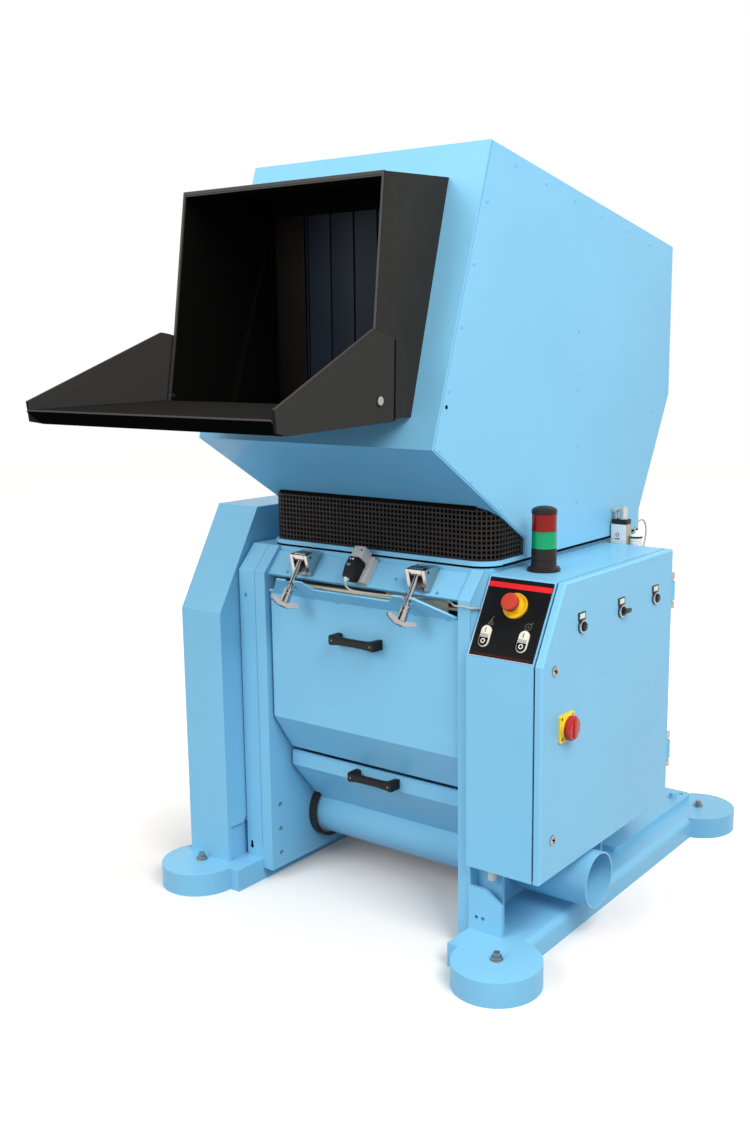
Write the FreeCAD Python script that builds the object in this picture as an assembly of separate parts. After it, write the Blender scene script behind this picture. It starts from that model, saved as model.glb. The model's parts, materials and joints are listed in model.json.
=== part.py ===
import FreeCAD, Part
import math
import os

V = FreeCAD.Vector
os.makedirs("parts", exist_ok=True)

# driving dimensions, all in mm, in machine coordinates
CLEAR_W = 600.0          # clear width between the side plates
PLATE_T = 35.0           # side plate thickness
FRONT_Y = -462.5         # front edge of the side plates
SLOPE_Y = -404.5         # where the sloped top of the front ends
BASE_TOP = 906.0         # top of the fixed base
SEAM_GAP = 5.5           # black gap under the hopper
HOP_OVER = 46.5          # hopper beyond the clear width, each side
HOP_T = 6.0              # hopper wall
PAD_D = 210.0            # foot pad diameter
PAD_Y = 557.0
PAD_GAP = 30.0           # between a side plate and a pad
FOOT_H = 58.5
BAR_W = 156.0            # width of a foot bar
RAIL_T = 16.0
TUBE_Y = -232.0          # suction tube axis
TUBE_Z = 146.0
TUBE_R = 68.0
TUBE_WALL = 4.0
TRAY_TIP = -1105.0
RUN = 0.05               # radial running clearance
CAB_GAP = 3.0            # between a side plate and the cabinet
CAB_D = 175.5            # depth of the cabinet
DOOR_GAP = 5.0
DOOR_T = 17.8
CAB_Z0 = 221.0
CAB_DROP = 10.6          # cabinet top under the base top
CAB_FRONT = -484.0
CAB_REAR = 174.6
CAB_SLOPE_H = 171.7      # height and depth of the cabinet slope
CAB_SLOPE_D = 98.0
BASE_REAR = 360.0        # rear end of the base
HINGE_OUT = 18.0         # hopper hinge behind the base
HINGE_DROP = 8.0         # and under its top
SLOPE_DROP = 66.0        # foot of the beam slope under the base top
FLANGE_T = 12.0
SHEET_T = 10.0           # sheet of the front beam
RIM_H = 10.5
FLARE = 0.1263

half = CLEAR_W / 2.0
side = half + PLATE_T
hop = half + HOP_OVER
hop_z0 = BASE_TOP + SEAM_GAP
rim_top = hop_z0 + RIM_H
PAD_X = side + PAD_GAP + PAD_D / 2.0
BAR_X1 = side + BAR_W
CAB_X0 = side + CAB_GAP
CAB_X1 = CAB_X0 + CAB_D
DOOR_X0 = CAB_X1 + DOOR_GAP
DOOR_X1 = DOOR_X0 + DOOR_T
CAB_Z1 = BASE_TOP - CAB_DROP
CAB_KNEE_Z = CAB_Z1 - CAB_SLOPE_H
CAB_KNEE_Y = CAB_FRONT + CAB_SLOPE_D
HINGE_Y = BASE_REAR + HINGE_OUT
HINGE_Z = BASE_TOP - HINGE_DROP
BEAM_Y = -450.0
BEAM_Z = BASE_TOP - SLOPE_DROP
rear_end = PAD_Y + PAD_D / 2.0
SHIFT = V(0, -(TRAY_TIP + rear_end) / 2.0, 0)

nodes = {}


def put(name, shape):
    s = shape.copy()
    s.translate(SHIFT)
    nodes[name] = s
    s.exportStep("parts/" + name + ".step")


def box(x0, x1, y0, y1, z0, z1):
    return Part.makeBox(x1 - x0, y1 - y0, z1 - z0, V(x0, y0, z0))


def prism(pts, x0, x1):
    vs = [V(x0, y, z) for y, z in pts]
    wire = Part.makePolygon(vs + [vs[0]])
    return Part.Face(wire).extrude(V(x1 - x0, 0, 0))


def flat(pts, z0, z1):
    vs = [V(x, y, z0) for x, y in pts]
    wire = Part.makePolygon(vs + [vs[0]])
    return Part.Face(wire).extrude(V(0, 0, z1 - z0))


def rod(p, d, r, length):
    return Part.makeCylinder(r, length, V(*p), V(*d))


def hexagon(x, y, z, r, height):
    # hex head or nut standing on z, r from its middle to a corner
    pts = []
    for k in range(6):
        pts.append((x + r * math.cos(math.pi / 3 * k), y + r * math.sin(math.pi / 3 * k)))
    return flat(pts, z, z + height)


def union(shapes):
    s = shapes[0]
    for t in shapes[1:]:
        s = s.fuse(t)
    return s.removeSplitter()


def offset(pts, t):
    # inward offset of a closed polygon by t
    area = 0.0
    n = len(pts)
    for i in range(n):
        x0, y0 = pts[i]
        x1, y1 = pts[(i + 1) % n]
        area += x0 * y1 - x1 * y0
    sgn = 1.0 if area > 0 else -1.0
    out = []
    for i in range(n):
        a = pts[i - 1]
        b = pts[i]
        c = pts[(i + 1) % n]
        d1 = (b[0] - a[0], b[1] - a[1])
        d2 = (c[0] - b[0], c[1] - b[1])
        l1 = math.hypot(*d1)
        l2 = math.hypot(*d2)
        n1 = (-d1[1] / l1 * sgn, d1[0] / l1 * sgn)
        n2 = (-d2[1] / l2 * sgn, d2[0] / l2 * sgn)
        m = 1.0 + n1[0] * n2[0] + n1[1] * n2[1]
        out.append((b[0] + t * (n1[0] + n2[0]) / m, b[1] + t * (n1[1] + n2[1]) / m))
    return out


def rounded(shape, sel, r):
    edges = [e for e in shape.Edges if sel(e)]
    return shape.makeFillet(r, edges)


def vertical_at(e, x, y):
    b = e.BoundBox
    return b.XLength < 0.1 and b.YLength < 0.1 and abs(b.XMin - x) < 0.5 and abs(b.YMin - y) < 0.5


def along_x_at(e, y, z):
    b = e.BoundBox
    return b.YLength < 0.1 and b.ZLength < 0.1 and abs(b.YMin - y) < 0.5 and abs(b.ZMin - z) < 0.5


def lead(points, r):
    # lead of eight flat sides: straight runs joined by tangent arcs as large as the runs allow
    pts = [V(*p) for p in points]
    edges = []
    start = pts[0]
    for i in range(1, len(pts) - 1):
        back = pts[i - 1] - pts[i]
        on = pts[i + 1] - pts[i]
        cut = 0.45 * min(back.Length, on.Length)
        back.normalize()
        on.normalize()
        turn = math.pi - back.getAngle(on)
        radius = cut / math.tan(turn / 2)
        middle = back + on
        middle.normalize()
        p1 = pts[i] + back * cut
        p2 = pts[i] + on * cut
        edges.append(Part.LineSegment(start, p1).toShape())
        edges.append(Part.Arc(p1, pts[i] + middle * (radius / math.cos(turn / 2) - radius), p2).toShape())
        print("lead radius", round(radius, 1))
        start = p2
    edges.append(Part.LineSegment(start, pts[-1]).toShape())
    path = Part.Wire(edges)
    way = pts[1] - pts[0]
    way.normalize()
    across = way.cross(V(0.3, 0.1, 1.0))
    across.normalize()
    upright = way.cross(across)
    ring = []
    for k in range(8):
        t = math.pi / 4 * k
        ring.append(pts[0] + across * (r * math.cos(t)) + upright * (r * math.sin(t)))
    section = Part.makePolygon(ring + [ring[0]])
    tube = path.makePipeShell([section], True, True)
    share = tube.Volume / (2.828 * r * r * path.Length)
    print("lead length", round(path.Length), "volume share", round(share, 3))
    return tube


# feet: two round pads joined by a bar, one pair each side
def foot(sign):
    x0 = side
    x1 = BAR_X1
    bar = box(x0, x1, -PAD_Y, PAD_Y, 0, FOOT_H)
    bar = rounded(bar, lambda e: e.BoundBox.XLength < 0.1 and abs(e.BoundBox.XMin - x1) < 0.5
                  and abs(e.BoundBox.ZMin - FOOT_H) < 0.5 and e.BoundBox.ZLength < 0.1, 18)
    s = union([bar, rod((PAD_X, -PAD_Y, 0), (0, 0, 1), PAD_D / 2, FOOT_H),
               rod((PAD_X, PAD_Y, 0), (0, 0, 1), PAD_D / 2, FOOT_H)])
    for y in (-PAD_Y, PAD_Y):
        s = s.cut(rod((PAD_X, y, 12), (0, 0, 1), 8.0, FOOT_H))
    if sign < 0:
        s = s.mirror(V(0, 0, 0), V(1, 0, 0))
    return s


put("left_foot", foot(-1))
put("right_foot", foot(1))
rail_top = FOOT_H + RAIL_T
rail_x = side + 92.0
rail = box(side + 5, rail_x, 110, 604, FOOT_H, rail_top)
rail = rounded(rail, lambda e: vertical_at(e, rail_x, 604), 20)
rail = rounded(rail, lambda e: vertical_at(e, rail_x, 110), 12)
rail = rail.cut(rod((rail_x - 24, 580, FOOT_H + 4), (0, 0, 1), 7, RAIL_T))
washer = rod((rail_x - 31, 540, rail_top), (0, 0, 1), 14, 3)
put("foot_rail", union([rail, washer, rod((rail_x - 31, 540, rail_top + 3), (0, 0, 1), 10, 12)]))
bolts = []
for sx in (-1, 1):
    for sy in (-1, 1):
        b = rod((sx * PAD_X, sy * PAD_Y, 12), (0, 0, 1), 8.0, FOOT_H + 18 - 12)
        bolts.append(union([b, hexagon(sx * PAD_X, sy * PAD_Y, FOOT_H, 13.0, 9.0)]))
put("levelling_bolts", Part.makeCompound(bolts))
beams = [box(-side, side, BASE_REAR - 60, BASE_REAR, 0, FOOT_H),
         box(-side, side, 500, 560, 0, FOOT_H),
         box(-160, 120, 330, 360, FOOT_H, 190), box(-160, 120, 520, 550, FOOT_H, 160)]

# side plates with their sloped upper front
plate_z = BEAM_Z + 3.0
plate_prof = [(FRONT_Y, 33), (FRONT_Y, plate_z), (SLOPE_Y, BASE_TOP), (BASE_REAR, BASE_TOP), (BASE_REAR, 33)]
tube_hole = rod((half - 1, TUBE_Y, TUBE_Z), (1, 0, 0), TUBE_R + RUN, PLATE_T + 2)
left_plate = prism(plate_prof, -side, -half)
for z in (72.0, 140.0, 208.0):
    left_plate = left_plate.cut(rod((-half - 12, -427, z), (1, 0, 0), 7.0, 20))
put("left_plate", left_plate)
right_plate = prism(plate_prof, half, side).cut(tube_hole)
put("right_plate", right_plate)

# outer casing beside the left plate
CAS_W = 55.0
cas_x = -side - CAS_W
cas_prof = [(FRONT_Y, FOOT_H), (FRONT_Y, plate_z), (SLOPE_Y, BASE_TOP), (BASE_REAR, BASE_TOP),
            (BASE_REAR, FOOT_H)]
put("left_casing", prism(cas_prof, cas_x, -side))

# belt guard standing outside the casing
GUARD_GAP = 4.8
GUARD_W = 141.7
GUARD_OVER = 91.2         # guard top over the base top
guard_x = cas_x - GUARD_GAP
guard_top = BASE_TOP + GUARD_OVER
guard_prof = [(-530.4, FOOT_H), (-530.4, guard_top - 261.8), (-382.9, guard_top), (180, guard_top),
              (330, guard_top - 97.2), (535, 440), (535, FOOT_H)]
guard = prism(guard_prof, guard_x - GUARD_W, guard_x)
step = [(-518, FOOT_H - 1), (-518, 152), (-474, 152), (-458, 168), (-458, FOOT_H - 1)]
guard = guard.cut(prism(step, guard_x - 12.2, cas_x))
guard = guard.cut(box(guard_x - 12.2, cas_x, -458, 600, FOOT_H - 1, 152))
guard = union([guard, box(guard_x, cas_x, -300, -250, 400, 700), box(guard_x, cas_x, 200, 250, 400, 700)])
put("belt_guard", guard)

# cutting chamber with an open throat and the rotor in it
TH_X = half - 30.0
TH_Y0 = -235.0
TH_Y1 = BASE_REAR - 25.0
CHAMBER_Y = -340.0
flange_z = BASE_TOP - FLANGE_T
chamber = box(-half, half, CHAMBER_Y, BASE_REAR, 400, flange_z)
chamber = chamber.cut(box(-TH_X, TH_X, TH_Y0, TH_Y1, 540, BASE_TOP))
put("chamber", chamber)
ROT_Y = 50.0
ROT_Z = BASE_TOP - 206.0
rotor = rod((-TH_X, ROT_Y, ROT_Z), (1, 0, 0), 60, 2 * TH_X)
for k in range(3):
    arm = box(-TH_X + 8, TH_X - 8, ROT_Y - 22, ROT_Y + 22, ROT_Z, ROT_Z + 125)
    arm.rotate(V(0, ROT_Y, ROT_Z), V(1, 0, 0), 120 * k + 20)
    rotor = rotor.fuse(arm)
put("rotor", rotor.removeSplitter())

# flange on top of the base, rounded at its front corners
RIM_Y = -400.0
RIM_R = 60.0
ring = box(-hop, hop, RIM_Y, BASE_REAR, flange_z, BASE_TOP)
ring = rounded(ring, lambda e: vertical_at(e, -hop, RIM_Y) or vertical_at(e, hop, RIM_Y), RIM_R)
ring = ring.cut(box(-TH_X, TH_X, TH_Y0, TH_Y1, flange_z - 1, BASE_TOP + 1))
ring = ring.cut(box(-hop - 1, -half, RIM_Y - 1, BASE_REAR + 1, flange_z - 1, BASE_TOP + 1))
ring = ring.cut(box(half, hop + 1, RIM_Y - 1, BASE_REAR + 1, flange_z - 1, BASE_TOP + 1))
flange = ring

# axis of the slope and helper that builds on it
SL = math.hypot(BEAM_Y - SLOPE_Y, BEAM_Z - flange_z)
sd = ((SLOPE_Y - BEAM_Y) / SL, (flange_z - BEAM_Z) / SL)
sn = (-sd[1], sd[0])


def on_slope(x, s, h):
    return (x, BEAM_Y + sd[0] * s + sn[0] * h, BEAM_Z + sd[1] * s + sn[1] * h)


# front beam: a bent sheet over the door, open behind its slope
low = on_slope(0, 0, -SHEET_T)
high = on_slope(0, SL, -SHEET_T)
beam_prof = [(BEAM_Y, BEAM_Z), (SLOPE_Y, flange_z), (CHAMBER_Y, flange_z), (CHAMBER_Y, flange_z - SHEET_T),
             (high[1] - 3, flange_z - SHEET_T), (low[1], low[2])]
put("front_beam", union([flange, prism(beam_prof, -half, half)]))

CLV_X = 181.0
PIV_S = 42.0
PIV_H = 35.0
piv = on_slope(0, PIV_S, PIV_H)
PIV_Y = piv[1]
PIV_Z = piv[2]
bolt_way = V(0, -0.559, -0.829)
TURN = math.radians(54)          # the wing nut's turn about its bolt
NUT_T = 93.0                     # the nut's upper face, from the pin
WING_T = 118.0                   # the wing's lower edge, clear of the lip as the bolt swings out
wing_way = V(math.cos(TURN), 0.829 * math.sin(TURN), -0.559 * math.sin(TURN))
thick_way = bolt_way.cross(wing_way)


def slope_block(corners, x0, x1):
    pts = [(on_slope(0, a, b)[1], on_slope(0, a, b)[2]) for a, b in corners]
    return prism(pts, x0, x1)


clevises = []
for nm, sx in (("left", -1), ("right", 1)):
    cx = sx * CLV_X
    c = slope_block(((7, 0), (7, 11), (36.5, 51), (73, 16), (73, 0)), cx - 28, cx + 28)
    c = c.cut(slope_block(((-10, 9), (-10, 80), (62, 80), (62, 9)), cx - 19, cx + 19))
    c = c.cut(rod((cx - 30, PIV_Y, PIV_Z), (1, 0, 0), 6.0 + RUN, 60))
    clevises.append(c)

    def along(t, w=0.0):
        # t runs down the bolt from its pin, w along the wing
        return V(cx, PIV_Y, PIV_Z) + bolt_way * t + wing_way * w

    pin = rod((cx - 28, PIV_Y, PIV_Z), (1, 0, 0), 6.0, 56)
    eye = rod((cx - 18, PIV_Y, PIV_Z), (1, 0, 0), 11.0, 36)
    cover = slope_block(((36.5, 51), (58, 30.5), (54, 26.5), (32.5, 47)), cx - 18, cx + 18)
    shaft = rod(along(0), bolt_way, 6.0, WING_T + 9)
    nut = rod(along(NUT_T), bolt_way, 11.0, WING_T - NUT_T - 8)
    hub = rod(along(WING_T - 9), bolt_way, 12.5, 18)
    boat = [(-38, 2), (-35, 9), (-14, 19), (14, 19), (35, 9), (38, 2), (31, 0), (13, 5), (-13, 5), (-31, 0)]
    rim_pts = [along(WING_T + t, w) - thick_way * 7 for w, t in boat]
    wing = Part.Face(Part.makePolygon(rim_pts + [rim_pts[0]])).extrude(thick_way * 14)
    put("bolt_" + nm, union([pin, eye, cover, shaft, nut, hub, wing]))

put("clevises", Part.makeCompound(clevises))

# safety switch on the slope
sw_plate = slope_block(((2, 0), (2, 20), (74, 20), (74, 0)), -10, 26)
sw_head = slope_block(((52, 20), (52, 50), (84, 50), (84, 20)), -22, 12)
put("switch_head", union([sw_plate, sw_head]))
put("switch_body", slope_block(((-2, 20), (-2, 46), (20, 54), (52, 54), (52, 20)), -24, 10))

# its lead: down under the beam, round the side plate's edge and into the cabinet
LEAD_R = 2.3
under = BEAM_Z - 13.0
exit_p = on_slope(-12, -2, 37)
down_p = on_slope(-12, -19, 37)
edge_y = FRONT_Y - LEAD_R - 1.2
switch_path = [exit_p, down_p, (6, -489, under + 9), (34, -472, under + 4), (70, -461, under + 2),
               (106, -455, under + 1), (142, -446, under), (178, -434, under + 2), (214, -428, under + 6),
               (246, -430, under + 5), (270, -441, under + 1), (284, -457, under + 1),
               (half, edge_y - 3.5, under + 3), (side - 16, edge_y - 0.5, under + 4),
               (side + 6, edge_y, under + 2), (side + 6.5, FRONT_Y + 13, under),
               (side + 4.5, FRONT_Y + 28, under - 4),
               (side + 4, FRONT_Y + 44, under - 8)]
cab_prof = [(CAB_FRONT, CAB_Z0), (CAB_FRONT, CAB_KNEE_Z), (CAB_KNEE_Y, CAB_Z1), (CAB_REAR, CAB_Z1),
            (CAB_REAR, CAB_Z0)]
cab_block = prism(cab_prof, CAB_X0, CAB_X1)
put("switch_lead", lead(switch_path, LEAD_R).cut(cab_block))

# screen door, a bent plate hinged at its foot
DH_Y = -372.0
DH_Z = 374.0
door_x = half - 8.0
LEAN = (-0.735, 0.677)
BEND_Y = -448.0
BEND_Z = BASE_TOP - 116.0
d_prof = [(BEND_Y, BEND_Z), (BEND_Y, 462), (-384, 362), (-367.2, 372.8), (-428, 468), (-428, BEND_Z)]
door = prism(d_prof, -door_x, door_x)


def on_lip(x, t, h):
    # t runs up the leaning lip, h is out of its front
    return V(x, BEND_Y + LEAN[0] * t - LEAN[1] * h, BEND_Z + LEAN[1] * t + LEAN[0] * h)


EAR = 74.0
MID = 44.0
NECK = 46.0
lip_pts = [(-door_x, -6), (-door_x, 11), (-door_x + 16, 12), (-CLV_X - 41, EAR), (-CLV_X - 12, EAR),
           (-CLV_X - 12, NECK), (-CLV_X + 12, NECK), (-CLV_X + 12, EAR), (-CLV_X + 41, EAR),
           (-CLV_X + 63, MID),
           (CLV_X - 65, MID), (CLV_X - 39, EAR), (CLV_X - 12, EAR), (CLV_X - 12, NECK), (CLV_X + 12, NECK),
           (CLV_X + 12, EAR), (CLV_X + 19, EAR), (door_x, 10), (door_x, -6)]
lv = [on_lip(x, t, 0) for x, t in lip_pts]
lip = Part.Face(Part.makePolygon(lv + [lv[0]])).extrude(on_lip(0, 0, -5) - on_lip(0, 0, 0))
lip = lip.cut(box(-door_x, door_x, BEND_Y - 50, BEND_Y, BEND_Z - 90, BEND_Z - 4))
door = door.fuse(lip)
door = door.fuse(rod((-door_x, DH_Y, DH_Z), (1, 0, 0), 9.0, 2 * door_x))
door = door.cut(rod((-door_x - 1, DH_Y, DH_Z), (1, 0, 0), 5.0 + RUN, 2 * door_x + 2)).removeSplitter()
put("door", door)
put("door_pin", rod((-half, DH_Y, DH_Z), (1, 0, 0), 5.0, 2 * half))
put("cradle_edge", box(-half, half, -424, CHAMBER_Y, BASE_TOP - 99, BASE_TOP - 93))


def handle(y, z, w, out, sect):
    # bridge handle on a face that looks towards -Y, deeper at its two ends
    e = w / 2
    upper = [(e, 13), (e - 24, 12.5), (e - 52, 9), (52 - e, 9), (24 - e, 12.5), (-e, 13)]
    lower = [(x, -dz) for x, dz in reversed(upper)]
    vs = [V(x, y - out, z + dz) for x, dz in upper + lower]
    bar = Part.Face(Part.makePolygon(vs + [vs[0]])).extrude(V(0, sect, 0))
    parts = [bar]
    for side_x in (-1, 1):
        leg = [(side_x * e, y - out + 1), (side_x * (e - 20), y - out + 1), (side_x * (e - 20), y - 8),
               (side_x * (e - 23), y), (side_x * e, y)]
        parts.append(flat(leg, z - 13, z + 13))
    return union(parts)


put("door_handle", handle(BEND_Y, BEND_Z - 87, 155, 38, 13))

# suction trough on its tube
TUBE_OUT = 16.7          # tube end beyond the cabinet door
tube_l = DOOR_X1 + TUBE_OUT + half - 6
tube = rod((-half + 6, TUBE_Y, TUBE_Z), (1, 0, 0), TUBE_R, tube_l)
tube = tube.cut(rod((-half + 12, TUBE_Y, TUBE_Z), (1, 0, 0), TUBE_R - TUBE_WALL, tube_l))
slot = box(-half + 20, half - 20, TUBE_Y - 40, TUBE_Y + 40, TUBE_Z, TUBE_Z + 90)
put("suction_tube", tube.cut(slot))
tx = half - 10.0
plates = [
    [(-385, 348), (-385, 312), (-379, 312), (-379, 348)],
    [(-383, 352), (-377, 352), (-373, 330), (-379, 330)],
    [(-385, 312), (-283, 190), (-278, 196), (-379, 317)],
    [(-181, 190), (-110, 300), (-116, 303), (-187, 195)]]
parts = [prism(p, -tx, tx) for p in plates]
parts[1] = parts[1].cut(parts[0])
parts[2] = parts[2].cut(parts[0])
end_prof = [(-379, 350), (-379, 317), (-278, 196), (-187, 195), (-116, 303)]
parts.append(prism(end_prof, -tx, -tx + 6))
parts.append(prism(end_prof, tx - 6, tx))
tube_body = rod((-half, TUBE_Y, TUBE_Z), (1, 0, 0), TUBE_R, 2 * half)
seal_room = rod((-half, TUBE_Y, TUBE_Z), (1, 0, 0), 89.0, 26)
clean = []
for q in parts:
    q = q.cut(tube_body).cut(seal_room)
    clean.append(q)
clean = [clean[0], clean[1].cut(clean[4]).cut(clean[5]), clean[2], clean[3], clean[4], clean[5]]
put("trough", Part.makeCompound(clean))
put("trough_handle", handle(-385, 332, 155, 38, 13))
ring = rod((-half, TUBE_Y, TUBE_Z), (1, 0, 0), 83.0, 20)
steel_ring = rod((-half, TUBE_Y, TUBE_Z), (1, 0, 0), 74.0, 17)
bore = rod((-half - 1, TUBE_Y, TUBE_Z), (1, 0, 0), TUBE_R + RUN, 40)
put("tube_seal", ring.cut(rod((-half - 1, TUBE_Y, TUBE_Z), (1, 0, 0), 74.0, 40)))
put("tube_ring", steel_ring.cut(bore))

# control cabinet
cab = cab_block.cut(prism(offset(cab_prof, 5.0), CAB_X0 + 5, CAB_X1 + 5))
put("cabinet", cab)
spacer_z = BASE_TOP - 106.0
spacers = [box(side, CAB_X0, -440, -400, 300, spacer_z), box(side, CAB_X0, 100, 140, 300, spacer_z)]
cd = prism(cab_prof, DOOR_X0, DOOR_X1)
front_face = [e for e in cd.Edges if abs(e.BoundBox.XMin - DOOR_X1) < 0.1 and e.BoundBox.XLength < 0.1]
cd = cd.makeChamfer(4.0, front_face)
CH_X = DOOR_X1 - 5.3
CH_Y = CAB_REAR + 9.0
hinge_zs = (CAB_Z0 + 109.0, CAB_Z1 - 135.4)
knuckles = []
for z in hinge_zs:
    k = rod((CH_X, CH_Y, z), (0, 0, 1), 8.0, 50)
    leaf = box(DOOR_X0, CH_X + 3, CAB_REAR, CH_Y, z, z + 50)
    knuckles.append(union([k, leaf]))
cd = cd.fuse(knuckles[0]).fuse(knuckles[1])
cd = cd.cut(rod((CH_X, CH_Y, CAB_Z0 - 10), (0, 0, 1), 4.0 + RUN, CAB_Z1 - CAB_Z0)).removeSplitter()
put("cabinet_door", cd)
pins = []
for z in hinge_zs:
    hinge = [rod((CH_X, CH_Y, z - 22), (0, 0, 1), 4.0, 94)]
    for lug_z in (z - 22, z + 56):
        hinge.append(rod((CH_X, CH_Y, lug_z), (0, 0, 1), 7.0, 16))
        hinge.append(box(CAB_X1 - 12, CH_X, CH_Y, CH_Y + 7, lug_z, lug_z + 16))
        hinge.append(box(CAB_X1 - 12, CAB_X1 - 2, CAB_REAR, CH_Y, lug_z, lug_z + 16))
    pins.append(union(hinge))
put("cabinet_hinges", Part.makeCompound(pins))

# cabinet slope: panel, buttons
CL = math.hypot(CAB_KNEE_Y - CAB_FRONT, CAB_Z1 - CAB_KNEE_Z)
cdir = ((CAB_KNEE_Y - CAB_FRONT) / CL, (CAB_Z1 - CAB_KNEE_Z) / CL)
cn = (-cdir[1], cdir[0])


def on_cab(s, h):
    return (CAB_FRONT + cdir[0] * s + cn[0] * h, CAB_KNEE_Z + cdir[1] * s + cn[1] * h)


pts = [on_cab(s, h) for s, h in ((4, 0), (4, 3), (192, 3), (192, 0))]
ES_X = CAB_X0 + 92.0
ES_S = 129.0
p0 = on_cab(ES_S, 3)
stem_hole = rod((ES_X, p0[0] - cn[0] * 4, p0[1] - cn[1] * 4), (0, cn[0], cn[1]), 10.0, 8)
put("control_plate", prism(pts, CAB_X0 + 5.8, CAB_X1 - 3.5).cut(stem_hole))
put("estop_collar", union([rod((ES_X, p0[0], p0[1]), (0, cn[0], cn[1]), 30, 4),
                           rod((ES_X, p0[0], p0[1]), (0, cn[0], cn[1]), 12, 12)])
    .cut(rod((ES_X, p0[0], p0[1]), (0, cn[0], cn[1]), 8 + RUN, 30)))
p1 = on_cab(ES_S, 3.5)
p2 = on_cab(ES_S, 20.5)
head = rod((ES_X, p2[0], p2[1]), (0, cn[0], cn[1]), 21, 14)
head = head.makeChamfer(3.0, [e for e in head.Edges if e.Curve.TypeId == "Part::GeomCircle"])
put("estop_button", union([rod((ES_X, p1[0], p1[1]), (0, cn[0], cn[1]), 8, 20), head]))
bs = []
for bx in (CAB_X0 + 33.0, CAB_X0 + 133.0):
    for ds in (-14.0, 14.0):
        q = on_cab(52 + ds, 3)
        bs.append(rod((bx, q[0], q[1]), (0, cn[0], cn[1]), 14.5, 6))
    q = [on_cab(s, h) for s, h in ((38, 3), (38, 9), (66, 9), (66, 3))]
    bs.append(prism(q, bx - 14.5, bx + 14.5))
put("push_buttons", Part.makeCompound([union(bs[0:3]), union(bs[3:6])]))

# beacon on the cabinet top
BX = CAB_X0 + 78.0
BY = -278.0
bbase = union([rod((BX, BY, CAB_Z1), (0, 0, 1), 38, 6), rod((BX, BY, CAB_Z1), (0, 0, 1), 29, 50)])
put("beacon_green", rod((BX, BY, CAB_Z1 + 50), (0, 0, 1), 28, 42))
put("beacon_red", rod((BX, BY, CAB_Z1 + 92), (0, 0, 1), 28, 42))
cap = rod((BX, BY, CAB_Z1 + 134), (0, 0, 1), 29, 22)
cap = cap.makeChamfer(7.0, [e for e in cap.Edges if abs(e.BoundBox.ZMin - CAB_Z1 - 156) < 0.1])
put("beacon_body", Part.makeCompound([bbase, cap]))

# things on the cabinet door
put("door_locks", Part.makeCompound([
    rod((DOOR_X1, -430, CAB_KNEE_Z - 17.7), (1, 0, 0), 12, 5),
    rod((DOOR_X1, -430, CAB_Z0 + 92), (1, 0, 0), 12, 5)]))
MS_Y = -378.0
MS_Z = CAB_Z0 + 344.0
put("main_switch_plate", box(DOOR_X1, DOOR_X1 + 5, MS_Y - 32.5, MS_Y + 32.5, MS_Z - 32.5, MS_Z + 32.5)
    .cut(rod((DOOR_X1 + 1, MS_Y, MS_Z), (1, 0, 0), 8 + RUN, 20)))
put("main_switch_knob", union([rod((DOOR_X1 + 1.2, MS_Y, MS_Z), (1, 0, 0), 8, 12),
                               rod((DOOR_X1 + 12, MS_Y, MS_Z), (1, 0, 0), 29, 13),
                               box(DOOR_X1 + 24, DOOR_X1 + 34, MS_Y - 8, MS_Y + 8, MS_Z - 24, MS_Z + 24)]))
sels = []
sel_z = CAB_Z1 - 110.4
for y in (-304.0, -104.0, 76.0):
    sels.append(union([box(DOOR_X1, DOOR_X1 + 3, y - 17, y + 17, sel_z - 15, sel_z + 43),
                       rod((DOOR_X1, y, sel_z), (1, 0, 0), 15, 16)]))
put("selectors", Part.makeCompound(sels))
put("gland", union([rod((CAB_X0 + 52, -452, CAB_Z0 - 12), (0, 0, 1), 14, 12),
                    rod((CAB_X0 + 52, -452, CAB_Z0 - 34), (0, 0, 1), 11, 22)]))

# stand of the cabinet over the right foot
g_pts = [(side, FOOT_H), (side, 166), (side + 45, 166), (side + 91, 136), (side + 91, FOOT_H)]
gv = [V(x, -470, z) for x, z in g_pts]
gusset = Part.Face(Part.makePolygon(gv + [gv[0]])).extrude(V(0, 10, 0))
for x in (side + 22.0, side + 40.0):
    gusset = gusset.cut(rod((x, -480, 92), (0, 1, 0), 5.0, 30))
stand = [box(side, side + 69, -430, -420, FOOT_H, CAB_Z0), box(side, side + 69, 60, 70, FOOT_H, CAB_Z0)]
put("cabinet_stand", Part.makeCompound([gusset] + stand + spacers))

# position switch with two roller plungers, on a bracket behind the cabinet
SW_W = 45.0
SW_D = 30.0
SW_H = 80.0
SW_GAP = 17.5            # between the side plate and the switch
LX = side + SW_GAP + SW_W / 2
LY = CAB_REAR + 6.4 + SW_D / 2
sw_top = BASE_TOP + 40.0
sw_z0 = sw_top - SW_H
put("hopper_switch", box(LX - SW_W / 2, LX + SW_W / 2, LY - SW_D / 2, LY + SW_D / 2, sw_z0, sw_top))
put("hopper_switch_cap", box(LX - 22, LX + 22, LY - 14.5, LY + 14.5, sw_top, sw_top + 13))
posts = [rod((LX - 15, LY - 3, sw_top + 13), (0, 0, 1), 6, 18),
         rod((LX - 22, LY - 3, sw_top + 35), (1, 0, 0), 8, 14),
         rod((LX + 6, LY, sw_top + 13), (0, 0, 1), 11, 30),
         rod((LX - 2, LY, sw_top + 38), (1, 0, 0), 9.5, 17)]
put("switch_rollers", Part.makeCompound([union(posts[0:2]), union(posts[2:4])]))
bracket = [box(side, LX + SW_W / 2, LY - SW_D / 2, LY + SW_D / 2, sw_z0 - 8, sw_z0),
           box(side, side + 8, LY - SW_D / 2, LY + SW_D / 2, sw_z0 - 60, sw_z0 - 8)]
put("switch_bracket", union(bracket))

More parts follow.
